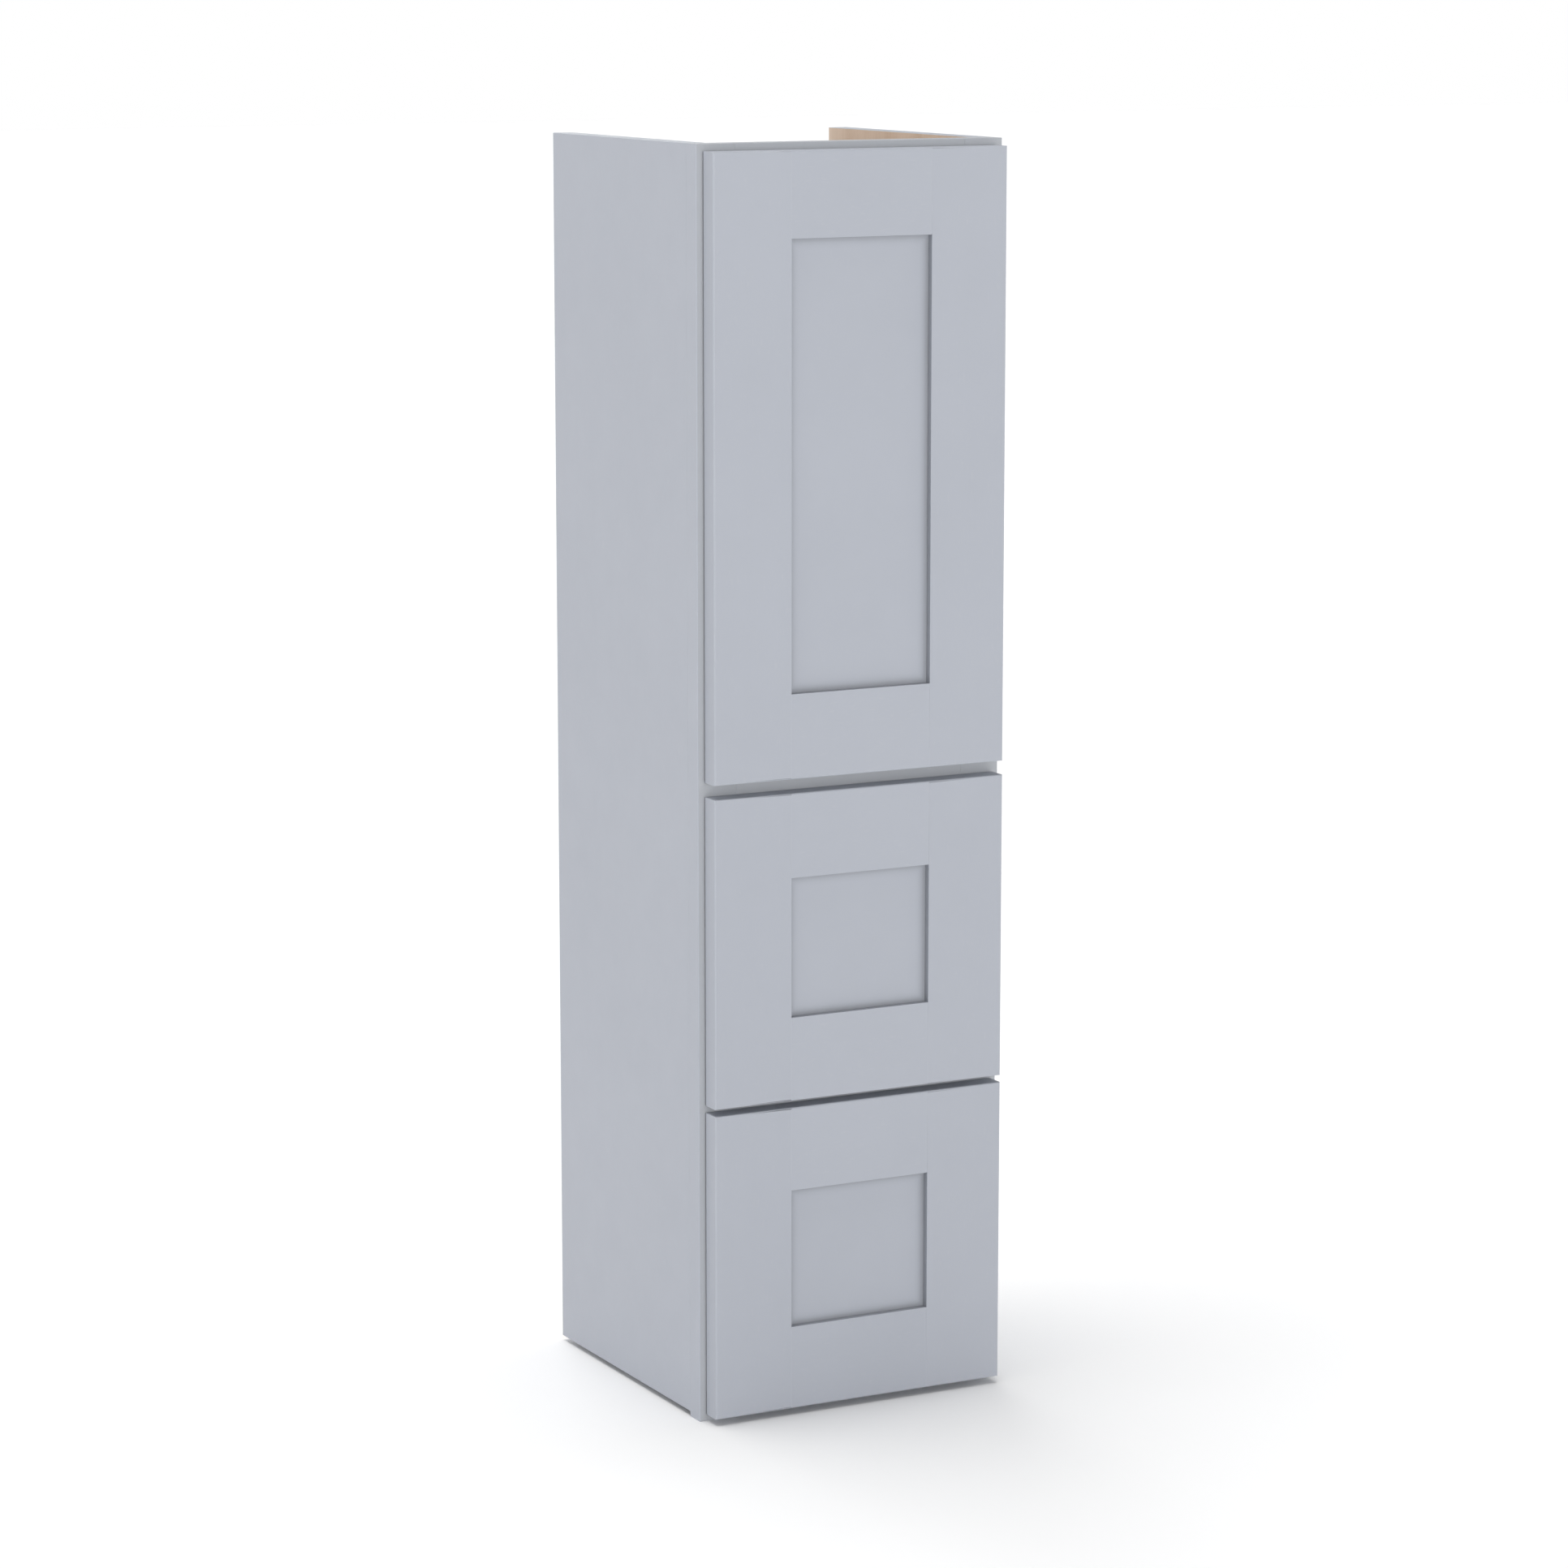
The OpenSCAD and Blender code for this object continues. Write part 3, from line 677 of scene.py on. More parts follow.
@dataclass(frozen=True)
class PlyEdge(Finish):
    """The cut edge of plywood.

    Attributes:
        ply: the thickness of one ply in metres.
        light: the plies that lie along the edge.
        dark: the plies that are cut across, and the glue.
        rub_and_highlight: its colour on edges lightened by wear from handling.
    """

    ply: float = 1.9 * MM
    light: int = 0xD8C6AD
    dark: int = 0xA68C6F
    rub_and_highlight: int = 0xE4D8C4

    def lay(self, coat: Coat) -> None:
        """Lays stacked plies.

        Args:
            coat: the material, with the plies stacked along its Z.
        """
        graph, light, dark = coat.graph, tone(self.light), tone(self.dark)
        layers = coat.effect(Effect.PLY_LAYERS, Ply=self.ply, Light=light, Dark=dark)
        wear_and_highlight_mask = graph.math("MULTIPLY", coat.rub_and_highlight(0.8 * MM), 0.5)
        coat.colour(graph.mix(wear_and_highlight_mask, layers["Color"], tone(self.rub_and_highlight)))
        coat.roughness(graph.span(layers["Height"], 0.0, 1.0, 0.78, 0.6))
        coat.relief(layers["Height"], 0.06 * MM)


@dataclass(frozen=True)
class PlatedSteel(Finish):
    """Pressed steel with a bright plating.

    Attributes:
        bright: the plating's clean colour.
        dull: its clouded colour.
        rough: its roughness, from the smoothest to the dullest.
        streaks: 1 where the surface is drawn, 0 where it is tumbled.
        rub_and_highlight: its colour on edges lightened by wear from handling.
    """

    bright: int = 0xC9CCD0
    dull: int = 0xA9ACB0
    rough: tuple[float, float] = (0.24, 0.42)
    streaks: float = 1.0
    rub_and_highlight: int = 0xE4E6E8

    def lay(self, coat: Coat) -> None:
        """Lays clouded plating, brighter on the edges that handling wears.

        Args:
            coat: the material.
        """
        graph, rub = coat.graph, coat.rub_and_highlight(0.4 * MM)
        skin = coat.effect(Effect.PLATED_SKIN, Streaks=self.streaks)
        colour = graph.mix(skin["Tone"], tone(self.bright), tone(self.dull))
        coat.colour(graph.mix(rub, colour, tone(self.rub_and_highlight)))
        gloss = graph.span(skin["Roughness"], 0.0, 1.0, *self.rough)
        coat.roughness(graph.weigh((gloss, 1.0), (rub, -0.08)))
        coat.relief(skin["Height"], 0.008 * MM)
        coat.shader["Metallic"].default_value = 1.0


@dataclass(frozen=True)
class MouldedNylon(Finish):
    """Grey moulded plastic with a finely eroded skin.

    Attributes:
        body: the plastic's colour.
        clouded: its colour in the duller clouds.
        rub_and_highlight: its colour on edges lightened by wear from handling.
    """

    body: int = 0x74777B
    clouded: int = 0x6A6D71
    rub_and_highlight: int = 0x94979A

    def lay(self, coat: Coat) -> None:
        """Lays the moulded skin.

        Args:
            coat: the material.
        """
        graph, skin = coat.graph, coat.effect(Effect.PLATED_SKIN, Streaks=0.0)
        colour = graph.mix(skin["Tone"], tone(self.body), tone(self.clouded))
        wear_and_highlight_mask = graph.math("MULTIPLY", coat.rub_and_highlight(0.5 * MM, 0.4), 0.6)
        coat.colour(graph.mix(wear_and_highlight_mask, colour, tone(self.rub_and_highlight)))
        coat.roughness(graph.span(skin["Roughness"], 0.0, 1.0, 0.46, 0.62))
        coat.relief(skin["Height"], 0.03 * MM)


@dataclass(frozen=True)
class ClearBumper(Finish):
    """Soft clear plastic, a little hazy with dust.

    Attributes:
        clear: its clean colour.
        hazy: its colour under dust.
    """

    clear: int = 0xEEF1F0
    hazy: int = 0xDDE3E1

    def lay(self, coat: Coat) -> None:
        """Lays clear plastic with a little haze.

        Args:
            coat: the material.
        """
        graph, skin = coat.graph, coat.effect(Effect.PLATED_SKIN, Streaks=0.0)
        coat.colour(graph.mix(skin["Tone"], tone(self.clear), tone(self.hazy)))
        coat.roughness(graph.span(skin["Roughness"], 0.0, 1.0, 0.12, 0.3))
        coat.relief(skin["Height"], 0.01 * MM)
        coat.shader["IOR"].default_value = 1.46
        coat.shader["Transmission Weight"].default_value = 0.85


@dataclass(frozen=True)
class StudioFloor(Finish):
    """A pale seamless floor.

    Attributes:
        pale: the paper's colour.
        clouded: its colour in the faint clouds.
    """

    pale: int = 0xFEFEFE
    clouded: int = 0xFCFCFC

    def lay(self, coat: Coat) -> None:
        """Lays pale paper.

        Args:
            coat: the material.
        """
        cloud = coat.graph.noise(coat.vector, 3, 2)
        coat.colour(coat.graph.mix(cloud, tone(self.pale), tone(self.clouded)))
        coat.roughness(coat.graph.span(cloud, 0.0, 1.0, 0.75, 0.85))


PAINT_UPRIGHT = SatinPaint("Satin-paint-upright", Run.UPRIGHT)
PAINT_ACROSS = SatinPaint("Satin-paint-across", Run.ACROSS, (0.31, 0.17, 0.05))
PAINT_FLAT = SatinPaint("Satin-paint-flat", Run.UPRIGHT, (0.7, 0.2, 0.4), telegraph=0.15)
# The face frame's paint is a touch lighter and warmer than the door's: painted light, lifting the shade
# on the frame in the gaps round the door and drawers.
FRAME_LIT_UPRIGHT = SatinPaint("Frame-paint-lit-upright", Run.UPRIGHT, (0.2, 0.5, 0.1), 1.0, 0xB2B5BA, 0xAFB2B7)
FRAME_LIT_ACROSS = SatinPaint("Frame-paint-lit-across", Run.ACROSS, (0.6, 0.3, 0.2), 1.0, 0xB2B5BA, 0xAFB2B7)
VENEER_UPRIGHT = ClearMaple("Maple-veneer-upright", Run.UPRIGHT, (0.2, 0.4, 0.1), bands=30.0)
VENEER_ACROSS = ClearMaple("Maple-veneer-across", Run.ACROSS, (0.5, 0.1, 0.3), bands=34.0)
MAPLE_DEEP = ClearMaple("Maple-deep", Run.DEEP, (0.1, 0.6, 0.2), 0xD7C6B3, 0xBEA78F, 70.0)
MAPLE_ACROSS = ClearMaple("Maple-across", Run.ACROSS, (0.9, 0.3, 0.6), 0xD7C6B3, 0xBEA68D, 66.0)
MAPLE_UPRIGHT = ClearMaple("Maple-upright", Run.UPRIGHT, (0.4, 0.8, 0.5), bands=70.0)
MAPLE_END = MapleEnd("Maple-end-grain")
PLY_FLAT = PlyEdge("Ply-edge-level", Run.ACROSS, ply=1.8 * MM)
PLY_SIDE = PlyEdge("Ply-edge-side", Run.UPRIGHT, ply=2.1 * MM)
ZINC = PlatedSteel("Zinc-steel", Run.DEEP)
NICKEL = PlatedSteel("Nickel-plate", Run.UPRIGHT, (0, 0, 0), 0xD2CFC8, 0xB8B4AC, (0.16, 0.3), 0.35)
SCREW_STEEL = PlatedSteel("Screw-steel", Run.ACROSS, (0, 0, 0), 0xBFC1C3, 0x94969A, (0.28, 0.48), 0.0)
NYLON = MouldedNylon("Grey-nylon")
BUMPER = ClearBumper("Clear-bumper")
FLOOR = StudioFloor("Studio-floor")


class Slot(Enum):
    """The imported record's names for the finishes."""

    PAINT = "painted_wood"
    SIDE = "painted_side"
    VENEER = "veneered_plywood"
    MAPLE = "clear_maple"
    ZINC = "zinc_steel"
    NICKEL = "nickel_plate"
    SCREW = "screw_steel"
    NYLON = "grey_plastic"
    BUMPER = "clear_bumper"


# ---- Bench work ----


def on_plane(axis: int, value: float) -> EdgeTest:
    """A test for an edge that lies in a plane square to an axis.

    Args:
        axis: the axis that the plane is square to.
        value: where the plane is along it.

    Returns:
        The test, which takes the edge's two ends.
    """
    return lambda a, b: abs(a[axis] - value) < TOUCH and abs(b[axis] - value) < TOUCH


def facing(axis: int, way: int, at: float | None = None) -> FaceTest:
    """A test for a face that looks along an axis.

    Args:
        axis: the axis that the face is square to.
        way: 1 where it looks up the axis, -1 down it, 0 either way.
        at: where along the axis it lies, or None for anywhere.

    Returns:
        The test, which takes the face's middle and its normal.
    """

    def test(middle: Vector, normal: Vector) -> bool:
        """Whether the face looks that way and lies there."""
        turned = abs(normal[axis]) if way == 0 else normal[axis] * way
        return turned > SQUARE_ON and (at is None or abs(middle[axis] - at) < NEAR)

    return test


def on_edge(_: Vector, normal: Vector) -> bool:
    """Whether a face of a level board is on its edge, not its top or foot."""
    return abs(normal.z) < 0.5


class Workpiece:
    """A mesh on the bench: added as a primitive, shaped in edit mode, then finished."""

    FLAT = math.radians(0.2)  # faces that turn less than this are one flat face
    SIDES = 32  # how many sides a rod has

    def __init__(self, obj: bpy.types.Object) -> None:
        """Starts on an object."""
        self.obj = obj

    @staticmethod
    def clear_bench() -> None:
        """Leaves nothing selected."""
        for obj in list(bpy.context.selected_objects):
            obj.select_set(False)

    def take_up(self) -> None:
        """Selects this piece alone and makes it the active one."""
        self.clear_bench()
        self.obj.select_set(True)
        bpy.context.view_layer.objects.active = self.obj

    @classmethod
    def _started(cls, name: str) -> Workpiece:
        """Names the object that is active, such as a primitive just added.

        Args:
            name: the piece's name.

        Returns:
            The workpiece.
        """
        obj = bpy.context.object
        obj.name = obj.data.name = name
        return cls(obj)

    @classmethod
    def block(cls, name: str, lo: Vector, hi: Vector) -> Workpiece:
        """Adds a block between two corners.

        Args:
            name: the piece's name.
            lo: its lowest corner.
            hi: its highest corner.

        Returns:
            The workpiece.
        """
        cls.clear_bench()
        bpy.ops.mesh.primitive_cube_add(size=1, location=(lo + hi) / 2)
        piece = cls._started(name)
        piece.obj.scale = hi - lo
        return piece.settle()

    @classmethod
    def rod(cls, name: str, radius: float, top: float, foot: float) -> Workpiece:
        """Adds an upright rod on the Z axis.

        Args:
            name: the piece's name.
            radius: its radius.
            top: the height of its top.
            foot: the height of its foot.

        Returns:
            The workpiece.
        """
        cls.clear_bench()
        shape = {"vertices": cls.SIDES, "radius": radius, "depth": top - foot}
        bpy.ops.mesh.primitive_cylinder_add(location=(0, 0, (top + foot) / 2), **shape)
        return cls._started(name).settle()

    @classmethod
    def from_node(cls, name: str, node: str) -> Workpiece:
        """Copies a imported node's mesh, merged and with its flat faces made whole.

        Args:
            name: the piece's name.
            node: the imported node.

        Returns:
            The workpiece.
        """
        mesh = bpy.data.objects[node].data.copy()
        mesh.name = name
        mesh.materials.clear()
        piece = cls(bpy.data.objects.new(name, mesh))
        bpy.context.scene.collection.objects.link(piece.obj)
        with piece.edit():
            bpy.ops.mesh.select_all(action="SELECT")
            bpy.ops.mesh.remove_doubles(threshold=WELD)
        bpy.ops.object.shade_flat()
        return piece.clean()

    @contextmanager
    def edit(self) -> Iterator[None]:
        """Opens the piece in edit mode with nothing selected, and closes it again.

        Yields:
            Nothing: what stands under the with statement works on the open mesh.
        """
        self.take_up()
        bpy.ops.object.mode_set(mode="EDIT")
        bpy.ops.mesh.select_mode(type="VERT")
        bpy.ops.mesh.select_all(action="DESELECT")
        yield
        bpy.ops.object.mode_set(mode="OBJECT")

    def settle(self) -> Workpiece:
        """Moves the object's place, turn and size into its mesh."""
        bpy.ops.object.transform_apply(location=True, rotation=True, scale=True)
        return self

    def pick_faces(self, test: FaceTest) -> None:
        """Selects faces, in edit mode.

        Args:
            test: takes a face's middle and normal.
        """
        bpy.ops.mesh.select_mode(type="FACE")
        mesh = bmesh.from_edit_mesh(self.obj.data)
        for face in mesh.faces:
            face.select_set(test(face.calc_center_median(), face.normal))
        mesh.select_flush_mode()
        bmesh.update_edit_mesh(self.obj.data)

    def pick_edges(self, test: Callable[[bmesh.types.BMEdge], bool]) -> None:
        """Selects edges, in edit mode.

        Args:
            test: takes an edge.
        """
        bpy.ops.mesh.select_mode(type="EDGE")
        mesh = bmesh.from_edit_mesh(self.obj.data)
        mesh.normal_update()
        for edge in mesh.edges:
            edge.select_set(test(edge))
        mesh.select_flush_mode()
        bmesh.update_edit_mesh(self.obj.data)

    def clean(self) -> Workpiece:
        """Takes out the lines that divide one flat face.

        Returns:
            The same workpiece.
        """
        with self.edit():
            bpy.ops.mesh.select_all(action="SELECT")
            bpy.ops.mesh.dissolve_limited(angle_limit=self.FLAT)
        return self

    def saw(self, axis: int, *places: float) -> Workpiece:
        """Marks the piece all round with planes square to an axis.

        Args:
            axis: the axis that the planes are square to.
            places: where they are along it.

        Returns:
            The same workpiece.
        """
        with self.edit():
            for place in places:
                bpy.ops.mesh.select_all(action="SELECT")
                bpy.ops.mesh.bisect(plane_co=AXES[axis] * place, plane_no=AXES[axis])
        return self

    def draw_out(self, test: FaceTest, move: Vector) -> Workpiece:
        """Extrudes faces.

        Args:
            test: takes a face's middle and normal.
            move: how far and which way they go.

        Returns:
            The same workpiece.
        """
        with self.edit():
            self.pick_faces(test)
            bpy.ops.mesh.extrude_region_move(TRANSFORM_OT_translate={"value": move})
        return self

    def cut(self, lo: Vector, hi: Vector) -> Workpiece:
        """Cuts a square-cornered space out of the piece.

        Args:
            lo: the space's lowest corner.
            hi: its highest corner.

        Returns:
            The same workpiece.
        """
        cutter = Workpiece.block("Cutter", lo, hi)
        cut = self.obj.modifiers.new("Cut", "BOOLEAN")
        cut.operation, cut.solver, cut.object = "DIFFERENCE", "EXACT", cutter.obj
        self.take_up()
        bpy.ops.object.modifier_apply(modifier=cut.name)
        bpy.data.objects.remove(cutter.obj)
        return self

    def round_over(self, tests: Sequence[Sequence[EdgeTest]], radius: float, steps: int = 5) -> Workpiece:
        """Rounds chosen edges.

        Args:
            tests: sets of tests; an edge is chosen that passes all of one set.
            radius: the rounding's radius.
            steps: how many faces go round it.

        Returns:
            The same workpiece.
        """

        def chosen(edge: bmesh.types.BMEdge) -> bool:
            """Whether an edge passes all of one set."""
            a, b = (vert.co for vert in edge.verts)
            return any(all(test(a, b) for test in together) for together in tests)

        with self.edit():
            self.pick_edges(chosen)
            bpy.ops.mesh.bevel(offset=radius, segments=steps, affect="EDGES")
        return self

    def ease(
        self, width: float, steps: int = 2, sharpest: float = 50.0, shortest: float = 1.0 * MM
    ) -> Workpiece:
        """Takes the sharpness off every edge that is still sharp.

        Args:
            width: how wide the eased strip is.
            steps: how many faces go round it.
            sharpest: the turn in degrees above which an edge counts as sharp.
            shortest: the length above which an edge is eased, so that the rims of drilled
                holes stay crisp; 0 eases round rims too, no wider than they allow.

        Returns:
            The same workpiece.
        """

        def sharp(edge: bmesh.types.BMEdge) -> bool:
            """Whether an edge is sharp, and long enough to ease."""
            return edge.calc_face_angle(0.0) > math.radians(sharpest) and edge.calc_length() > shortest

        with self.edit():
            self.pick_edges(sharp)
            bpy.ops.mesh.bevel(offset=width, segments=steps, clamp_overlap=shortest == 0.0)
            bpy.ops.mesh.select_all(action="SELECT")
            bpy.ops.mesh.dissolve_degenerate(threshold=WELD)
        return self

    def dress(self, finish: Finish, *others: tuple[Finish, FaceTest]) -> Workpiece:
        """Gives the piece its finish, and chosen faces others.

        Args:
            finish: the finish of most of it.
            others: further finishes, each with the test that chooses its faces.

        Returns:
            The same workpiece.
        """
        mesh = self.obj.data
        mesh.materials.clear()
        mesh.materials.append(finish.material())
        for number, (other, test) in enumerate(others, 1):
            mesh.materials.append(other.material())
            for face in mesh.polygons:
                if test(face.center, face.normal):
                    face.material_index = number
        return self

    def mark_recess_shade(self, share: ShadeShare) -> Workpiece:
        """Marks how much painted shade the paint gets, most in the corners of a recess.

        Args:
            share: how much there is, 0 to 1, at a face's corner, from that corner's place and
                the face's middle and normal.

        Returns:
            The same workpiece.
        """
        mesh = self.obj.data
        marks = mesh.attributes.new(SatinPaint.SHADE_ATTRIBUTE, "FLOAT", "CORNER").data
        for face in mesh.polygons:
            for loop in face.loop_indices:
                corner = mesh.vertices[mesh.loops[loop].vertex_index].co
                marks[loop].value = share(corner, face.center, face.normal)
        return self

    def smooth(self, angle: float = 35.0) -> Workpiece:
        """Smooths the rounded faces and keeps the flat ones flat.

        Args:
            angle: the turn in degrees above which an edge stays crisp.

        Returns:
            The same workpiece.
        """
        self.take_up()
        bpy.ops.object.shade_smooth_by_angle(angle=math.radians(angle))
        flats = self.obj.modifiers.new("Flats", "WEIGHTED_NORMAL")
        flats.keep_sharp = True
        bpy.ops.object.modifier_apply(modifier=flats.name)
        return self

    def copies(self, places: Sequence[Matrix]) -> Workpiece:
        """Sets a copy at each place, joined as one piece, and keeps no original.

        Args:
            places: where each copy stands.

        Returns:
            The joined workpiece.
        """
        name, made = self.obj.name, []
        for place in places:
            twin = bpy.data.objects.new(name + "-copy", self.obj.data.copy())
            bpy.context.scene.collection.objects.link(twin)
            twin.data.transform(place)
            made.append(twin)
        bpy.data.objects.remove(self.obj)
        return Workpiece.join(name, [Workpiece(obj) for obj in made])

    @classmethod
    def join(cls, name: str, pieces: Sequence[Workpiece]) -> Workpiece:
        """Makes several workpieces one.

        Args:
            name: the name of the whole.
            pieces: what it is made of.

        Returns:
            The whole.
        """
        cls.clear_bench()
        for piece in pieces:
            piece.obj.select_set(True)
        bpy.context.view_layer.objects.active = pieces[0].obj
        if len(pieces) > 1:
            bpy.ops.object.join()
        return cls._started(name)


@dataclass(frozen=True)
class Solid:
    """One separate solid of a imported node.

    Attributes:
        points: its corners.
    """

    points: tuple[Vector, ...]

    END = 0.3 * MM  # a corner this near an end is part of it

    @property
    def lo(self) -> Vector:
        """Its lowest corner."""
        return Vector([min(p[i] for p in self.points) for i in range(3)])

    @property
    def hi(self) -> Vector:
        """Its highest corner."""
        return Vector([max(p[i] for p in self.points) for i in range(3)])

    def long_axis(self) -> int:
        """The axis along which it is longest."""
        size = self.hi - self.lo
        return max(range(3), key=lambda i: size[i])

    def head(self) -> Matrix:
        """The place of a screw-like solid.

        Returns:
            What lays a shape on the Z axis, its top at the origin, onto this solid.
        """
        axis, lo, hi = self.long_axis(), self.lo, self.hi
        across = (axis + 1) % 3
        ends = []
        for way, end in ((1, hi[axis]), (-1, lo[axis])):
            near = [p[across] for p in self.points if abs(p[axis] - end) < self.END]
            ends.append((max(near) - min(near), way, end))
        _, way, end = max(ends)
        top = (lo + hi) / 2
        top[axis] = end
        turn = Vector((0, 0, 1)).rotation_difference(AXES[axis] * way)
        return Matrix.Translation(top) @ turn.to_matrix().to_4x4()


def solids_of(node: str) -> list[Solid]:
    """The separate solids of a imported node.

    Args:
        node: the node's name.

    Returns:
        The solids, in the order of their lowest corners.
    """
    mesh = bmesh.new()
    mesh.from_mesh(bpy.data.objects[node].data)
    bmesh.ops.remove_doubles(mesh, verts=mesh.verts, dist=WELD)
    waiting, found = set(mesh.verts), []
    while waiting:
        reached = [waiting.pop()]
        for vert in reached:
            near = {edge.other_vert(vert) for edge in vert.link_edges} & waiting
            waiting -= near
            reached.extend(near)
        found.append(Solid(tuple(vert.co.copy() for vert in reached)))
    mesh.free()
    return sorted(found, key=lambda solid: tuple(round(v, 5) for v in solid.lo))


@dataclass
class SubAssembly:
    """A part of the cabinet that is built and dressed together.

    Attributes:
        body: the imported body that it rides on.
    """

    body: str

    EASED = 0.35 * MM  # how wide a board's eased edges are

    def fit(self, piece: Workpiece, slot: Slot, node: str) -> None:
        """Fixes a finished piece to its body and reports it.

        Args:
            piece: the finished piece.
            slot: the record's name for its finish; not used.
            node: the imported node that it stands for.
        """
        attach(piece.obj, self.body)
        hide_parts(node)
        LOG.info("%s: %d faces on %s", piece.obj.name, len(piece.obj.data.polygons), self.body)

    def build(self) -> None:
        """Builds the sub-assembly."""
        raise NotImplementedError


# ---- The case ----


@dataclass
class Case(SubAssembly):
    """The plywood case: sides, level panels, back and hanging rails.

    Attributes:
        rail_round: the radius of the hanging rails' rear edges.
        skin: how near a face lies to the side's surface to belong to it.
    """

    rail_round: float = 1.5 * MM
    skin: float = MM

    def build(self) -> None:
        """Builds every panel of the case."""
        for side in ("left", "right"):
            self.side(side)
        for node in ("top_panel", "bottom_panel", "deck"):
            self.level(node)
        self.back()
        for node in ("hanging_rail_upper", "hanging_rail_lower"):
            self.rail(node)

    def side(self, side: str) -> None:
        """Builds a side, painted outside and veneered inside.

        Args:
            side: left or right.
        """
        node = f"side_panel_{side}"
        lo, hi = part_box(node)
        outer = lo.x if side == "left" else hi.x
        piece = Workpiece.from_node(f"Side-{side}", node).ease(self.EASED)

        def painted(middle: Vector, _: Vector) -> bool:
            """Whether a face is on the outside, the top or the foot."""
            return abs(middle.x - outer) < self.skin or not lo.z + self.skin < middle.z < hi.z - self.skin

        piece.dress(VENEER_UPRIGHT, (PLY_SIDE, facing(Y, 1, hi.y)), (PAINT_UPRIGHT, painted))
        self.fit(piece.smooth(), Slot.SIDE, node)

    def level(self, node: str) -> None:
        """Builds a level panel.

        Args:
            node: the panel's node.
        """
        piece = Workpiece.block(piece_name(node), *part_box(node)).ease(self.EASED)
        self.fit(piece.dress(VENEER_ACROSS, (PLY_FLAT, on_edge)).smooth(), Slot.VENEER, node)

    def back(self) -> None:
        """Builds the back panel."""
        piece = Workpiece.from_node("Back", "back_panel").ease(self.EASED, steps=1)
        self.fit(piece.dress(VENEER_UPRIGHT).smooth(), Slot.VENEER, "back_panel")

    def rail(self, node: str) -> None:
        """Builds a hanging rail.

        Args:
            node: the rail's node.
        """
        lo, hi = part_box(node)
        rear = [[on_plane(Y, hi.y), on_plane(Z, z)] for z in (lo.z, hi.z)]
        piece = Workpiece.block(piece_name(node), lo, hi)
        piece.round_over(rear, self.rail_round, steps=3).ease(self.EASED)
        self.fit(piece.dress(VENEER_ACROSS).smooth(), Slot.VENEER, node)


@dataclass
class Shelving(SubAssembly):
    """The adjustable shelf and its four pins.

    Attributes:
        band: the thickness of the lipping on the shelf's front edge.
        nose: the radius of the lipping's edges.
        pin_round: the radius of the pins' edges.
    """

    band: float = 0.8 * MM
    nose: float = 0.7 * MM
    pin_round: float = 0.5 * MM

    def build(self) -> None:
        """Builds the shelf and its pins."""
        lo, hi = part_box("shelf")
        line = lo.y + self.band
        front = [[on_plane(Y, lo.y), on_plane(Z, z)] for z in (lo.z, hi.z)]
        piece = Workpiece.block("Shelf", lo, hi).saw(Y, line)
        piece.round_over(front, self.nose, steps=3).ease(self.EASED)
        piece.dress(VENEER_ACROSS, (PLY_FLAT, on_edge), (MAPLE_ACROSS, lambda m, _: m.y < line))
        self.fit(piece.smooth(), Slot.VENEER, "shelf")
        pins = Workpiece.from_node("Shelf-pins", "shelf_pins").ease(self.pin_round, shortest=0.0)
        self.fit(pins.dress(NICKEL).smooth(), Slot.NICKEL, "shelf_pins")


@dataclass
class FaceFrame(SubAssembly):
    """The painted face frame: two full-height stiles and four rails between them.

    Attributes:
        tenon: how far the rails' tenons reach into the stiles.
        arris: the radius of the frame's outer front edges.
    """

    tenon: float = 12.7 * MM
    arris: float = 0.8 * MM

    def build(self) -> None:
        """Builds the stiles and then the rails."""
        for side in ("left", "right"):
            self.stile(side)
        for place in ("top", "middle", "drawers", "bottom"):
            self.rail(place)

    def stile(self, side: str) -> None:
        """Builds a stile.

        Args:
            side: left or right.
        """
        node = f"frame_stile_{side}"
        lo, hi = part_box(node)
        outer = lo.x if side == "left" else hi.x
        corner = [on_plane(Y, lo.y), on_plane(X, outer)]
        piece = Workpiece.from_node(piece_name(node), node)
        piece.round_over([corner], self.arris, steps=4).ease(self.EASED)
        # the front and the faces inside the openings take the frame's lighter, warmer paint, which is
        # painted light
        piece.dress(
            FRAME_LIT_UPRIGHT,
            (PAINT_UPRIGHT, lambda m, _: abs(m.x - outer) < NEAR),
            (MAPLE_UPRIGHT, facing(Y, 1, hi.y)),
        )
        self.fit(piece.smooth(), Slot.PAINT, node)

    def rail(self, place: str) -> None:
        """Builds a rail, with its tenons a third of its thickness.

        Args:
            place: which rail.
        """
        node = f"frame_rail_{place}"
        lo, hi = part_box(node)
        lo.x, hi.x = lo.x + self.tenon, hi.x - self.tenon
        third = (hi.y - lo.y) / 3
        middle = (lo + hi) / 2
        piece = Workpiece.block(piece_name(node), lo, hi)
        piece.saw(Y, lo.y + third, hi.y - third).saw(Z, lo.z + third, hi.z - third)
        for way in (-1, 1):
            end = facing(X, way)
            piece.draw_out(
                lambda m, n, end=end: end(m, n) and (m - middle).yz.length < third / 2,
                Vector((way * self.tenon, 0, 0)),
            )
        piece.clean().ease(self.EASED)
        # the frame's lighter, warmer paint is painted light
        piece.dress(FRAME_LIT_ACROSS, (MAPLE_ACROSS, facing(Y, 1, hi.y)))
        self.fit(piece.smooth(), Slot.PAINT, node)


# ---- Framed faces ----


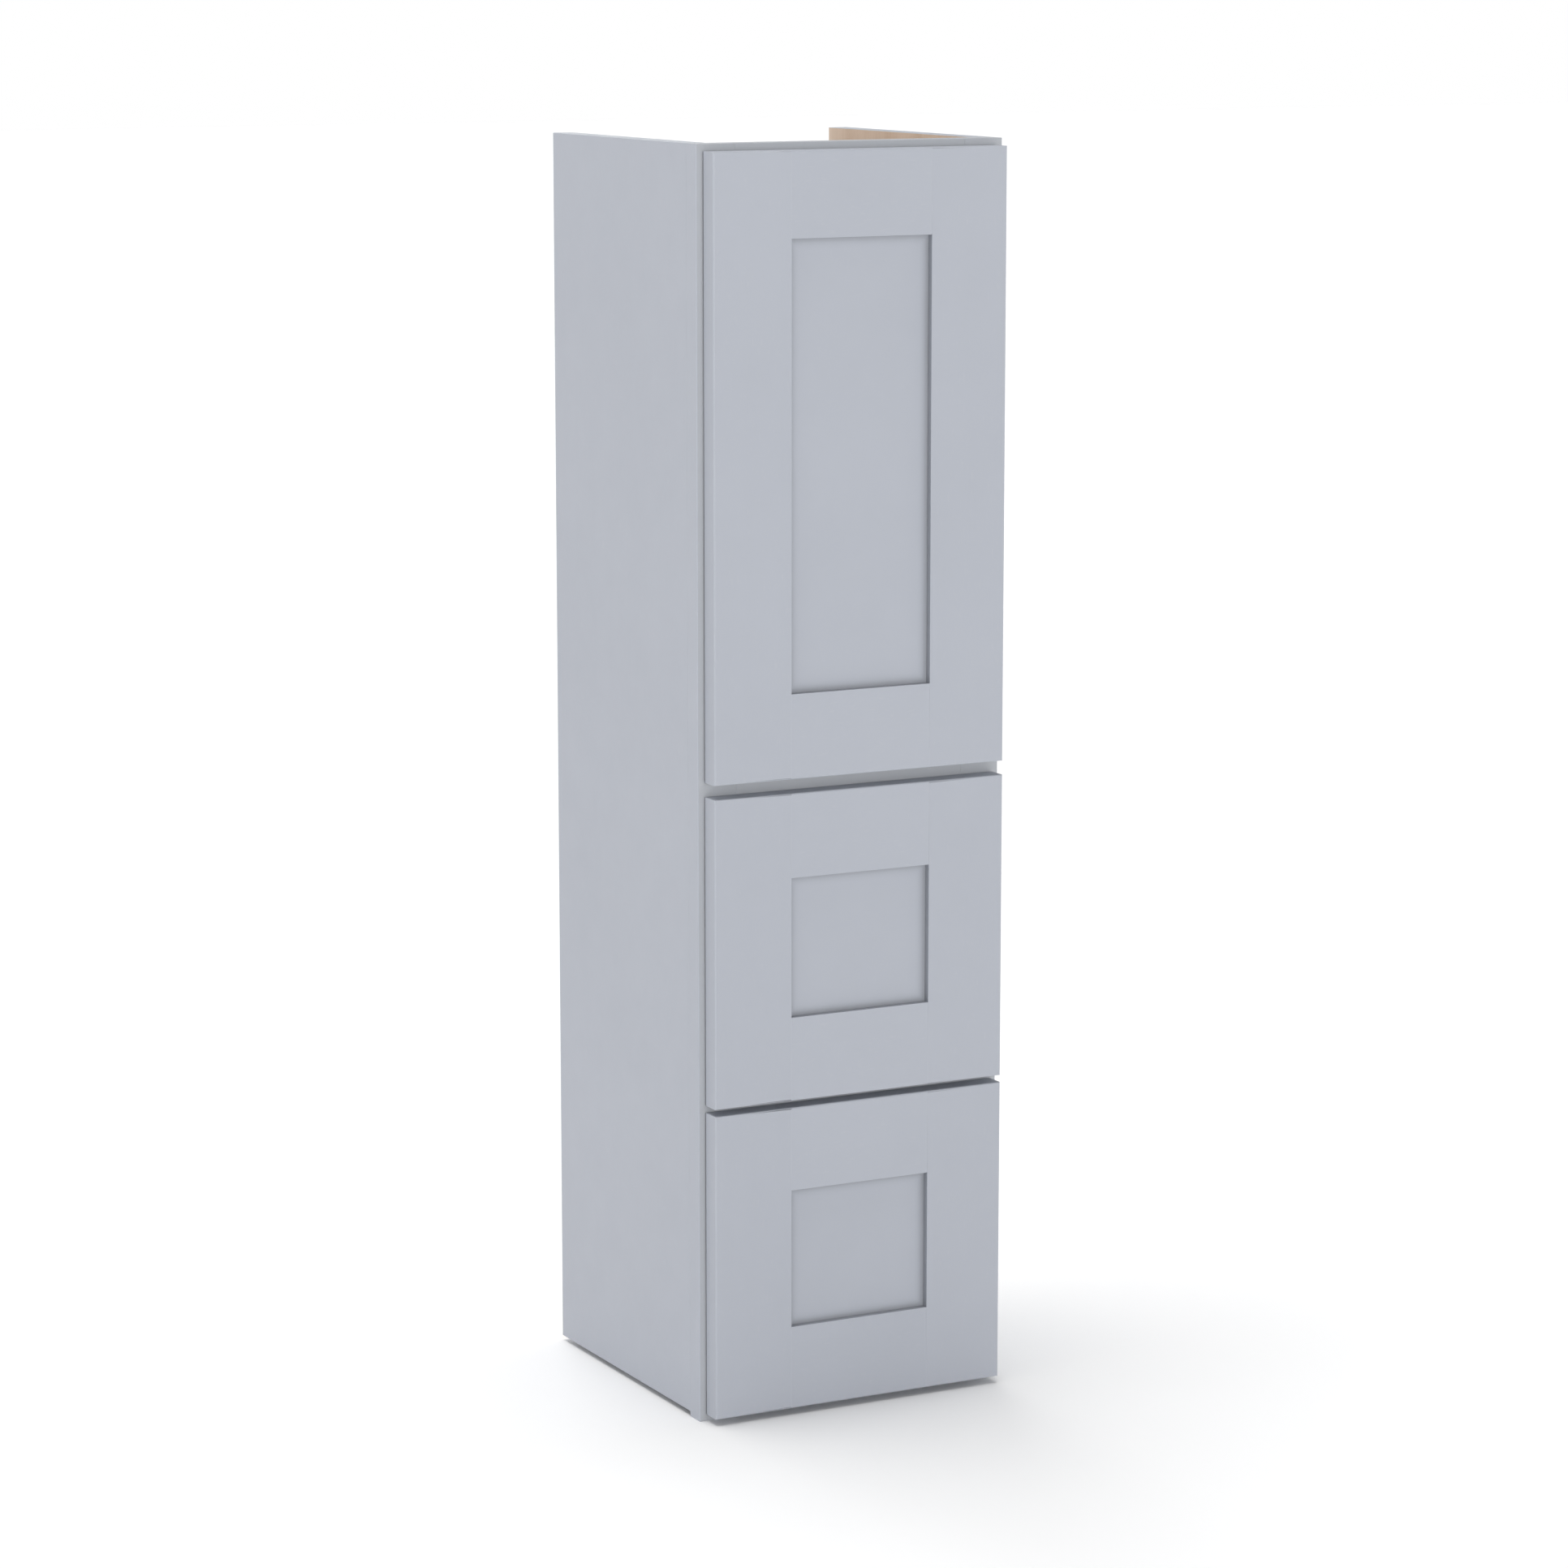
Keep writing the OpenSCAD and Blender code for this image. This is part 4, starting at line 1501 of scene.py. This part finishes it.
@dataclass
class FramedFace(SubAssembly):
    """A framed face: two stiles, two rails and a flat panel held in their grooves.

    Attributes:
        prefix: what the names of its nodes start with.
        arris: the radius of its outer front edges.
        slack: how much shorter a tongue is than its groove.
        crisp: how wide its other eased edges are.
        fade_in: how far in from the frame the painted shade reaches on the panel, and how strong it is
            there.
        fade_up: how far it reaches up the walls of the recess.
    """

    prefix: str
    arris: float = 1.6 * MM
    slack: float = 0.3 * MM
    crisp: float = 0.2 * MM
    fade_in: tuple[tuple[float, float], ...] = (
        (0.0, 1.0),
        (2.5 * MM, 0.75),
        (4.5 * MM, 0.35),
        (7.0 * MM, 0.1),
        (10.0 * MM, 0.0),
    )
    fade_up: float = 10 * MM

    SHARP = 60.0  # the turn in degrees above which an edge is eased
    SKIN = 0.5 * MM  # a face's middle this near a wall lies on it

    def build(self) -> None:
        """Builds the five members."""
        self.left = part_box(f"{self.prefix}_stile_left")
        self.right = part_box(f"{self.prefix}_stile_right")
        self.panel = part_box(f"{self.prefix}_panel")
        for side in ("left", "right"):
            self.stile(side)
        for place in ("top", "bottom"):
            self.rail(place)
        self.flat_panel()

    def stile(self, side: str) -> None:
        """Builds a stile, grooved from end to end.

        Args:
            side: left or right.
        """
        node = f"{self.prefix}_stile_{side}"
        inner = self.left[1].x if side == "left" else self.right[0].x
        piece = Workpiece.from_node(piece_name(node), node)
        piece.dress(PAINT_UPRIGHT).ease(self.crisp, sharpest=self.SHARP)
        # painted shade on the stile's wall of the recess
        self.fit(piece.mark_recess_shade(self.wall(X, inner)).smooth(), Slot.PAINT, node)

    def rail(self, place: str) -> None:
        """Builds a rail, with tongues on its ends and a groove for the panel.

        Args:
            place: top or bottom.
        """
        node = f"{self.prefix}_rail_{place}"
        lo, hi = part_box(node)
        lo.x, hi.x = self.left[1].x, self.right[0].x
        y_lo, y_hi = self.panel[0].y, self.panel[1].y
        outer, inner, way = (hi.z, lo.z, 1) if place == "top" else (lo.z, hi.z, -1)
        reach = self.panel[1].x - self.right[0].x
        piece = Workpiece.block(piece_name(node), lo, hi).saw(Y, y_lo, y_hi)
        for side in (-1, 1):
            end = facing(X, side)
            piece.draw_out(
                lambda m, n, end=end: end(m, n) and y_lo < m.y < y_hi, Vector((side * reach, 0, 0))
            )
        low, high = sorted((inner - way * MM, inner + way * (reach + self.slack)))
        past = reach + MM
        piece.cut(Vector((lo.x - past, y_lo, low)), Vector((hi.x + past, y_hi, high))).clean()
        piece.round_over([[on_plane(Y, lo.y), on_plane(Z, outer)]], self.arris)
        piece.ease(self.crisp, sharpest=self.SHARP).dress(PAINT_ACROSS)
        # painted shade on the rail's wall of the recess
        self.fit(piece.mark_recess_shade(self.wall(Z, inner)).smooth(), Slot.PAINT, node)

    def wall(self, axis: int, at: float) -> ShadeShare:
        """Tells how much painted shade there is on a wall of the recess.

        Args:
            axis: the axis that the wall is square to.
            at: where along it the wall is.

        Returns:
            What gives the share at a face's corner.
        """
        near, far = self.panel[0].y, self.panel[1].y

        def share(corner: Vector, middle: Vector, normal: Vector) -> float:
            """The share at a corner: more towards the panel, and none away from the wall.

            Args:
                corner: the corner's place.
                middle: the middle of its face.
                normal: the way that its face looks.

            Returns:
                The share, 0 to 1.
            """
            if abs(normal[axis]) < SQUARE_ON or abs(middle[axis] - at) > self.SKIN:
                return 0.0
            return max(0.0, 1.0 - max(near - corner.y, corner.y - far) / self.fade_up)

        return share

    def flat_panel(self) -> None:
        """Builds the flat panel, marked all round where its painted shade fades."""
        node = f"{self.prefix}_panel"
        lo, hi = Vector(self.panel[0]), Vector(self.panel[1])
        lo.x, hi.x = self.left[1].x, self.right[0].x
        lo.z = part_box(f"{self.prefix}_rail_bottom")[1].z
        hi.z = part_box(f"{self.prefix}_rail_top")[0].z
        piece = Workpiece.block(piece_name(node), *self.panel)
        for axis in (X, Z):
            for inset, _ in self.fade_in:
                piece.saw(axis, lo[axis] + inset, hi[axis] - inset)

        def share(corner: Vector, _: Vector, normal: Vector) -> float:
            """The share at a corner: most beside the frame, fading out over the panel.

            Args:
                corner: the corner's place.
                _: the middle of its face, which makes no difference.
                normal: the way that its face looks.

            Returns:
                The share, 0 to 1.
            """
            if abs(normal.y) < SQUARE_ON:
                return 0.0
            inside = min(min(corner[a] - lo[a], hi[a] - corner[a]) for a in (X, Z))
            return next((most for inset, most in self.fade_in if inside < inset + TOUCH), 0.0)

        piece.ease(self.crisp).dress(PAINT_FLAT)
        # painted shade on the panel beside the frame
        self.fit(piece.mark_recess_shade(share).smooth(), Slot.PAINT, node)


@dataclass
class Bumpers(SubAssembly):
    """Clear bumpers on the back of a face.

    Attributes:
        node: the bumpers' node.
        dome: the radius of a bumper's dome, as a share of its height.
        foot: how wide the eased edge at its foot is.
    """

    node: str
    dome: float = 0.8
    foot: float = 0.1 * MM

    SHARP = 50.0  # the turn in degrees above which an edge stays crisp

    def build(self) -> None:
        """Builds one domed bumper and sets a copy at each place."""
        solids = solids_of(self.node)
        size = solids[0].hi - solids[0].lo
        piece = Workpiece.rod(piece_name(self.node), size.x / 2, size.y, 0.0)
        piece.round_over([[on_plane(Z, size.y)]], size.y * self.dome).ease(self.foot, shortest=0.0)
        piece.dress(BUMPER).smooth(self.SHARP)
        turn = Matrix.Rotation(-math.pi / 2, 4, "X")
        places = []
        for solid in solids:
            middle = (solid.lo + solid.hi) / 2
            places.append(Matrix.Translation(Vector((middle.x, solid.lo.y, middle.z))) @ turn)
        self.fit(piece.copies(places), Slot.BUMPER, self.node)


class ScrewSize(Enum):
    """A screw's head radius, head height and shank radius."""

    CUP = (3.3 * MM, 0.8 * MM, 1.7 * MM)
    ARM = (3.3 * MM, 1.4 * MM, 1.9 * MM)
    SLIDE = (3.4 * MM, 1.5 * MM, 1.9 * MM)
    FACE = (5 * MM, 2.4 * MM, 2 * MM)


@dataclass
class Screws(SubAssembly):
    """Cross-recess screws, one for each solid of a node.

    Attributes:
        node: the screws' node.
        size: which screws they are.
        point: how wide the tip is, as a share of the shank.
        crown: the radius of the head's edge, as a share of the head's height.
        cross: the recess's reach and half width, as shares of the head's radius.
        deep: how deep the recess is, as a share of the head's height.
    """

    node: str
    size: ScrewSize
    point: float = 0.15
    crown: float = 0.6
    cross: tuple[float, float] = (0.5, 0.11)
    deep: float = 0.6

    SHARP = 40.0  # the turn in degrees above which an edge stays crisp

    def build(self) -> None:
        """Builds one screw and sets a copy at each place."""
        head_r, head_h, shank_r = self.size.value
        solids = solids_of(self.node)
        length = (solids[0].hi - solids[0].lo)[solids[0].long_axis()]
        piece = Workpiece.rod(piece_name(self.node), head_r, 0.0, -head_h)
        with piece.edit():
            piece.pick_faces(facing(Z, -1))
            bpy.ops.mesh.inset(thickness=head_r - shank_r)
            self.stretch_down(length - head_h - 2 * shank_r)
            self.stretch_down(2 * shank_r)
            bpy.ops.transform.resize(value=(self.point, self.point, 1))
        piece.round_over([[on_plane(Z, 0.0)]], head_h * self.crown, steps=4)
        reach, wing = (head_r * share for share in self.cross)
        for a, b in ((reach, wing), (wing, reach)):
            piece.cut(Vector((-a, -b, -head_h * self.deep)), Vector((a, b, MM)))
        piece.dress(SCREW_STEEL).smooth(self.SHARP)
        self.fit(piece.copies([solid.head() for solid in solids]), Slot.SCREW, self.node)

    @staticmethod
    def stretch_down(length: float) -> None:
        """Extrudes the picked face down by a length."""
        bpy.ops.mesh.extrude_region_move(TRANSFORM_OT_translate={"value": Vector((0, 0, -length))})


# ---- Hinges, slides and drawer boxes ----


class Stock(Enum):
    """What fittings are made from: the finish, the record's name for it, and their edges' width."""

    NICKELLED = (NICKEL, Slot.NICKEL, 0.25 * MM)
    PRESSED = (ZINC, Slot.ZINC, 0.4 * MM)
    MOULDED = (NYLON, Slot.NYLON, 0.5 * MM)


@dataclass
class Hardware(SubAssembly):
    """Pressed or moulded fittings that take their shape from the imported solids.

    Attributes:
        node: the fittings' node.
        stock: what they are made from.
        shortest: the length above which an edge is rounded.
    """

    node: str
    stock: Stock
    shortest: float = 1.0 * MM

    SHARP = 40.0  # the turn in degrees above which an edge is rounded

    def build(self) -> None:
        """Builds the fittings with rounded edges."""
        finish, slot, edge = self.stock.value
        piece = Workpiece.from_node(piece_name(self.node), self.node)
        piece.ease(edge, sharpest=self.SHARP, shortest=self.shortest).dress(finish)
        self.fit(piece.smooth(self.SHARP), slot, self.node)


@dataclass
class DrawerBox(SubAssembly):
    """A dovetailed maple drawer box, whose nodes' names start with its body's."""

    def build(self) -> None:
        """Builds the four dovetailed boards and the bottom."""
        for side in ("left", "right"):
            self.board(f"side_{side}", MAPLE_DEEP, Y)
        for end in ("front", "back"):
            self.board(end, MAPLE_ACROSS, X)
        node = f"{self.body}_box_bottom"
        piece = Workpiece.block(piece_name(f"{self.body}_bottom"), *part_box(node)).ease(self.EASED)
        self.fit(piece.dress(VENEER_ACROSS, (PLY_FLAT, on_edge)).smooth(), Slot.VENEER, node)

    def board(self, part: str, finish: Finish, grain: int) -> None:
        """Builds a dovetailed board.

        Args:
            part: which board.
            finish: how its faces are finished.
            grain: the axis that its grain runs along.
        """
        node = f"{self.body}_box_{part}"
        piece = Workpiece.from_node(piece_name(f"{self.body}_{part}"), node).ease(self.EASED)
        self.fit(piece.dress(finish, (MAPLE_END, facing(grain, 0))).smooth(), Slot.MAPLE, node)


# ---- The studio ----


@dataclass(frozen=True)
class SoftLight:
    """One broad, far-off lamp that lights every part of the scene alike.

    Attributes:
        name: its name.
        comes_from: the direction that its light comes from.
        strength: its strength in watts to a square metre.
        softness: how wide it looks, in degrees.
    """

    name: str
    comes_from: tuple[float, float, float]
    strength: float
    softness: float

    FAR = 5.0  # how far off it stands, which makes no difference to its light

    def build(self) -> None:
        """Sets the lamp up."""
        lamp = bpy.data.lights.new(self.name, "SUN")
        lamp.energy, lamp.angle = self.strength, math.radians(self.softness)
        obj = bpy.data.objects.new(self.name, lamp)
        obj.location = Vector(self.comes_from) * self.FAR
        obj.rotation_euler = (-Vector(self.comes_from)).to_track_quat("-Z", "Y").to_euler()
        bpy.context.scene.collection.objects.link(obj)


@dataclass
class Studio:
    """The pale floor, the soft light and the camera.

    Attributes:
        floor_size: the floor's width.
        sky: how strong the light from all round is.
        camera_at: where the camera stands.
        yaw: how far it is turned from straight ahead, in degrees.
        pitch: how far it looks down, in degrees.
        lens: its focal length in millimetres.
    """

    floor_size: float = 60.0
    sky: float = 0.36
    camera_at: tuple[float, float, float] = (-2.0124, -3.8607, 1.308)
    yaw: float = 27.58
    pitch: float = 9.87
    lens: float = 110.14

    SENSOR = 36.0
    CLIP = (0.05, 200.0)
    WHITE = (1.0, 1.0, 1.0, 1.0)
    LAMPS = (
        SoftLight("Front-lamp", (-0.05, -1.0, 0.05), 1.38, 16.0),
        SoftLight("Left-lamp", (-1.0, 0.16, 0.05), 0.95, 24.0),
        SoftLight("Right-lamp", (1.0, 0.2, 0.1), 1.1, 30.0),
        SoftLight("Back-lamp", (0.1, 1.0, 0.2), 1.1, 40.0),
        SoftLight("Top-lamp", (-0.1, 0.12, 1.0), 1.8, 44.0),
    )

    def build(self) -> None:
        """Sets the studio up."""
        self.camera()
        self.floor()
        self.world()
        for lamp in self.LAMPS:
            lamp.build()
        bpy.context.scene.view_settings.view_transform = "Standard"

    def camera(self) -> None:
        """Sets the camera."""
        data = bpy.data.cameras.new("Camera")
        data.lens, data.sensor_width = self.lens, self.SENSOR
        data.clip_start, data.clip_end = self.CLIP
        camera = bpy.data.objects.new("Camera", data)
        camera.location = self.camera_at
        camera.rotation_euler = (math.radians(90 - self.pitch), 0, math.radians(-self.yaw))
        bpy.context.scene.collection.objects.link(camera)
        bpy.context.scene.camera = camera

    def floor(self) -> None:
        """Lays the floor."""
        Workpiece.clear_bench()
        bpy.ops.mesh.primitive_plane_add(size=self.floor_size)
        floor = bpy.context.object
        floor.name = "Floor"
        floor.data.materials.append(FLOOR.material())

    def world(self) -> None:
        """Lights the scene from all round, with a white backdrop behind it."""
        world = bpy.data.worlds.new("Studio")
        world.use_nodes = True
        bpy.context.scene.world = world
        graph = Graph(world.node_tree)
        seen = graph.add("ShaderNodeLightPath").outputs["Is Camera Ray"]
        strength = graph.span(seen, 0.0, 1.0, self.sky, 1.0)
        background = world.node_tree.nodes["Background"].inputs
        background["Color"].default_value = self.WHITE
        graph.feed(background["Strength"], strength)


def drawer_parts(drawer: str) -> list[SubAssembly]:
    """The sub-assemblies of one drawer.

    Args:
        drawer: its body's name, with which the names of its nodes start.

    Returns:
        The sub-assemblies, in the order in which they are built.
    """
    return [
        FramedFace(drawer, f"{drawer}_face"),
        DrawerBox(drawer),
        Screws(drawer, f"{drawer}_screws", ScrewSize.FACE),
        Bumpers(drawer, f"{drawer}_bumpers"),
        Hardware(drawer, f"{drawer}_locks", Stock.MOULDED),
        Hardware(drawer, f"{drawer}_slide_caps", Stock.PRESSED),
        Hardware(f"{drawer}_slides", f"{drawer}_slide_middles", Stock.PRESSED),
    ]


def main() -> None:
    """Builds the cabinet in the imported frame, sub-assembly by sub-assembly."""
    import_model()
    Studio().build()
    parts = [
        Case("carcass"),
        FaceFrame("carcass"),
        Shelving("carcass"),
        FramedFace("door", "door"),
        Bumpers("door", "door_bumpers"),
        Hardware("carcass", "hinge_arms", Stock.NICKELLED),
        Hardware("hinge_links", "hinge_links", Stock.NICKELLED),
        Hardware("door", "hinge_cups", Stock.NICKELLED, shortest=0.0),
        Screws("carcass", "hinge_arm_screws", ScrewSize.ARM),
        Screws("door", "hinge_cup_screws", ScrewSize.CUP),
        Hardware("carcass", "slide_channels", Stock.PRESSED),
        Hardware("carcass", "slide_brackets", Stock.MOULDED),
        Screws("carcass", "slide_screws", ScrewSize.SLIDE),
        *drawer_parts("drawer_lower"),
        *drawer_parts("drawer_upper"),
    ]
    for part in parts:
        part.build()


if __name__ == "__main__":
    logging.basicConfig(level=logging.INFO, format="%(message)s")
    main()
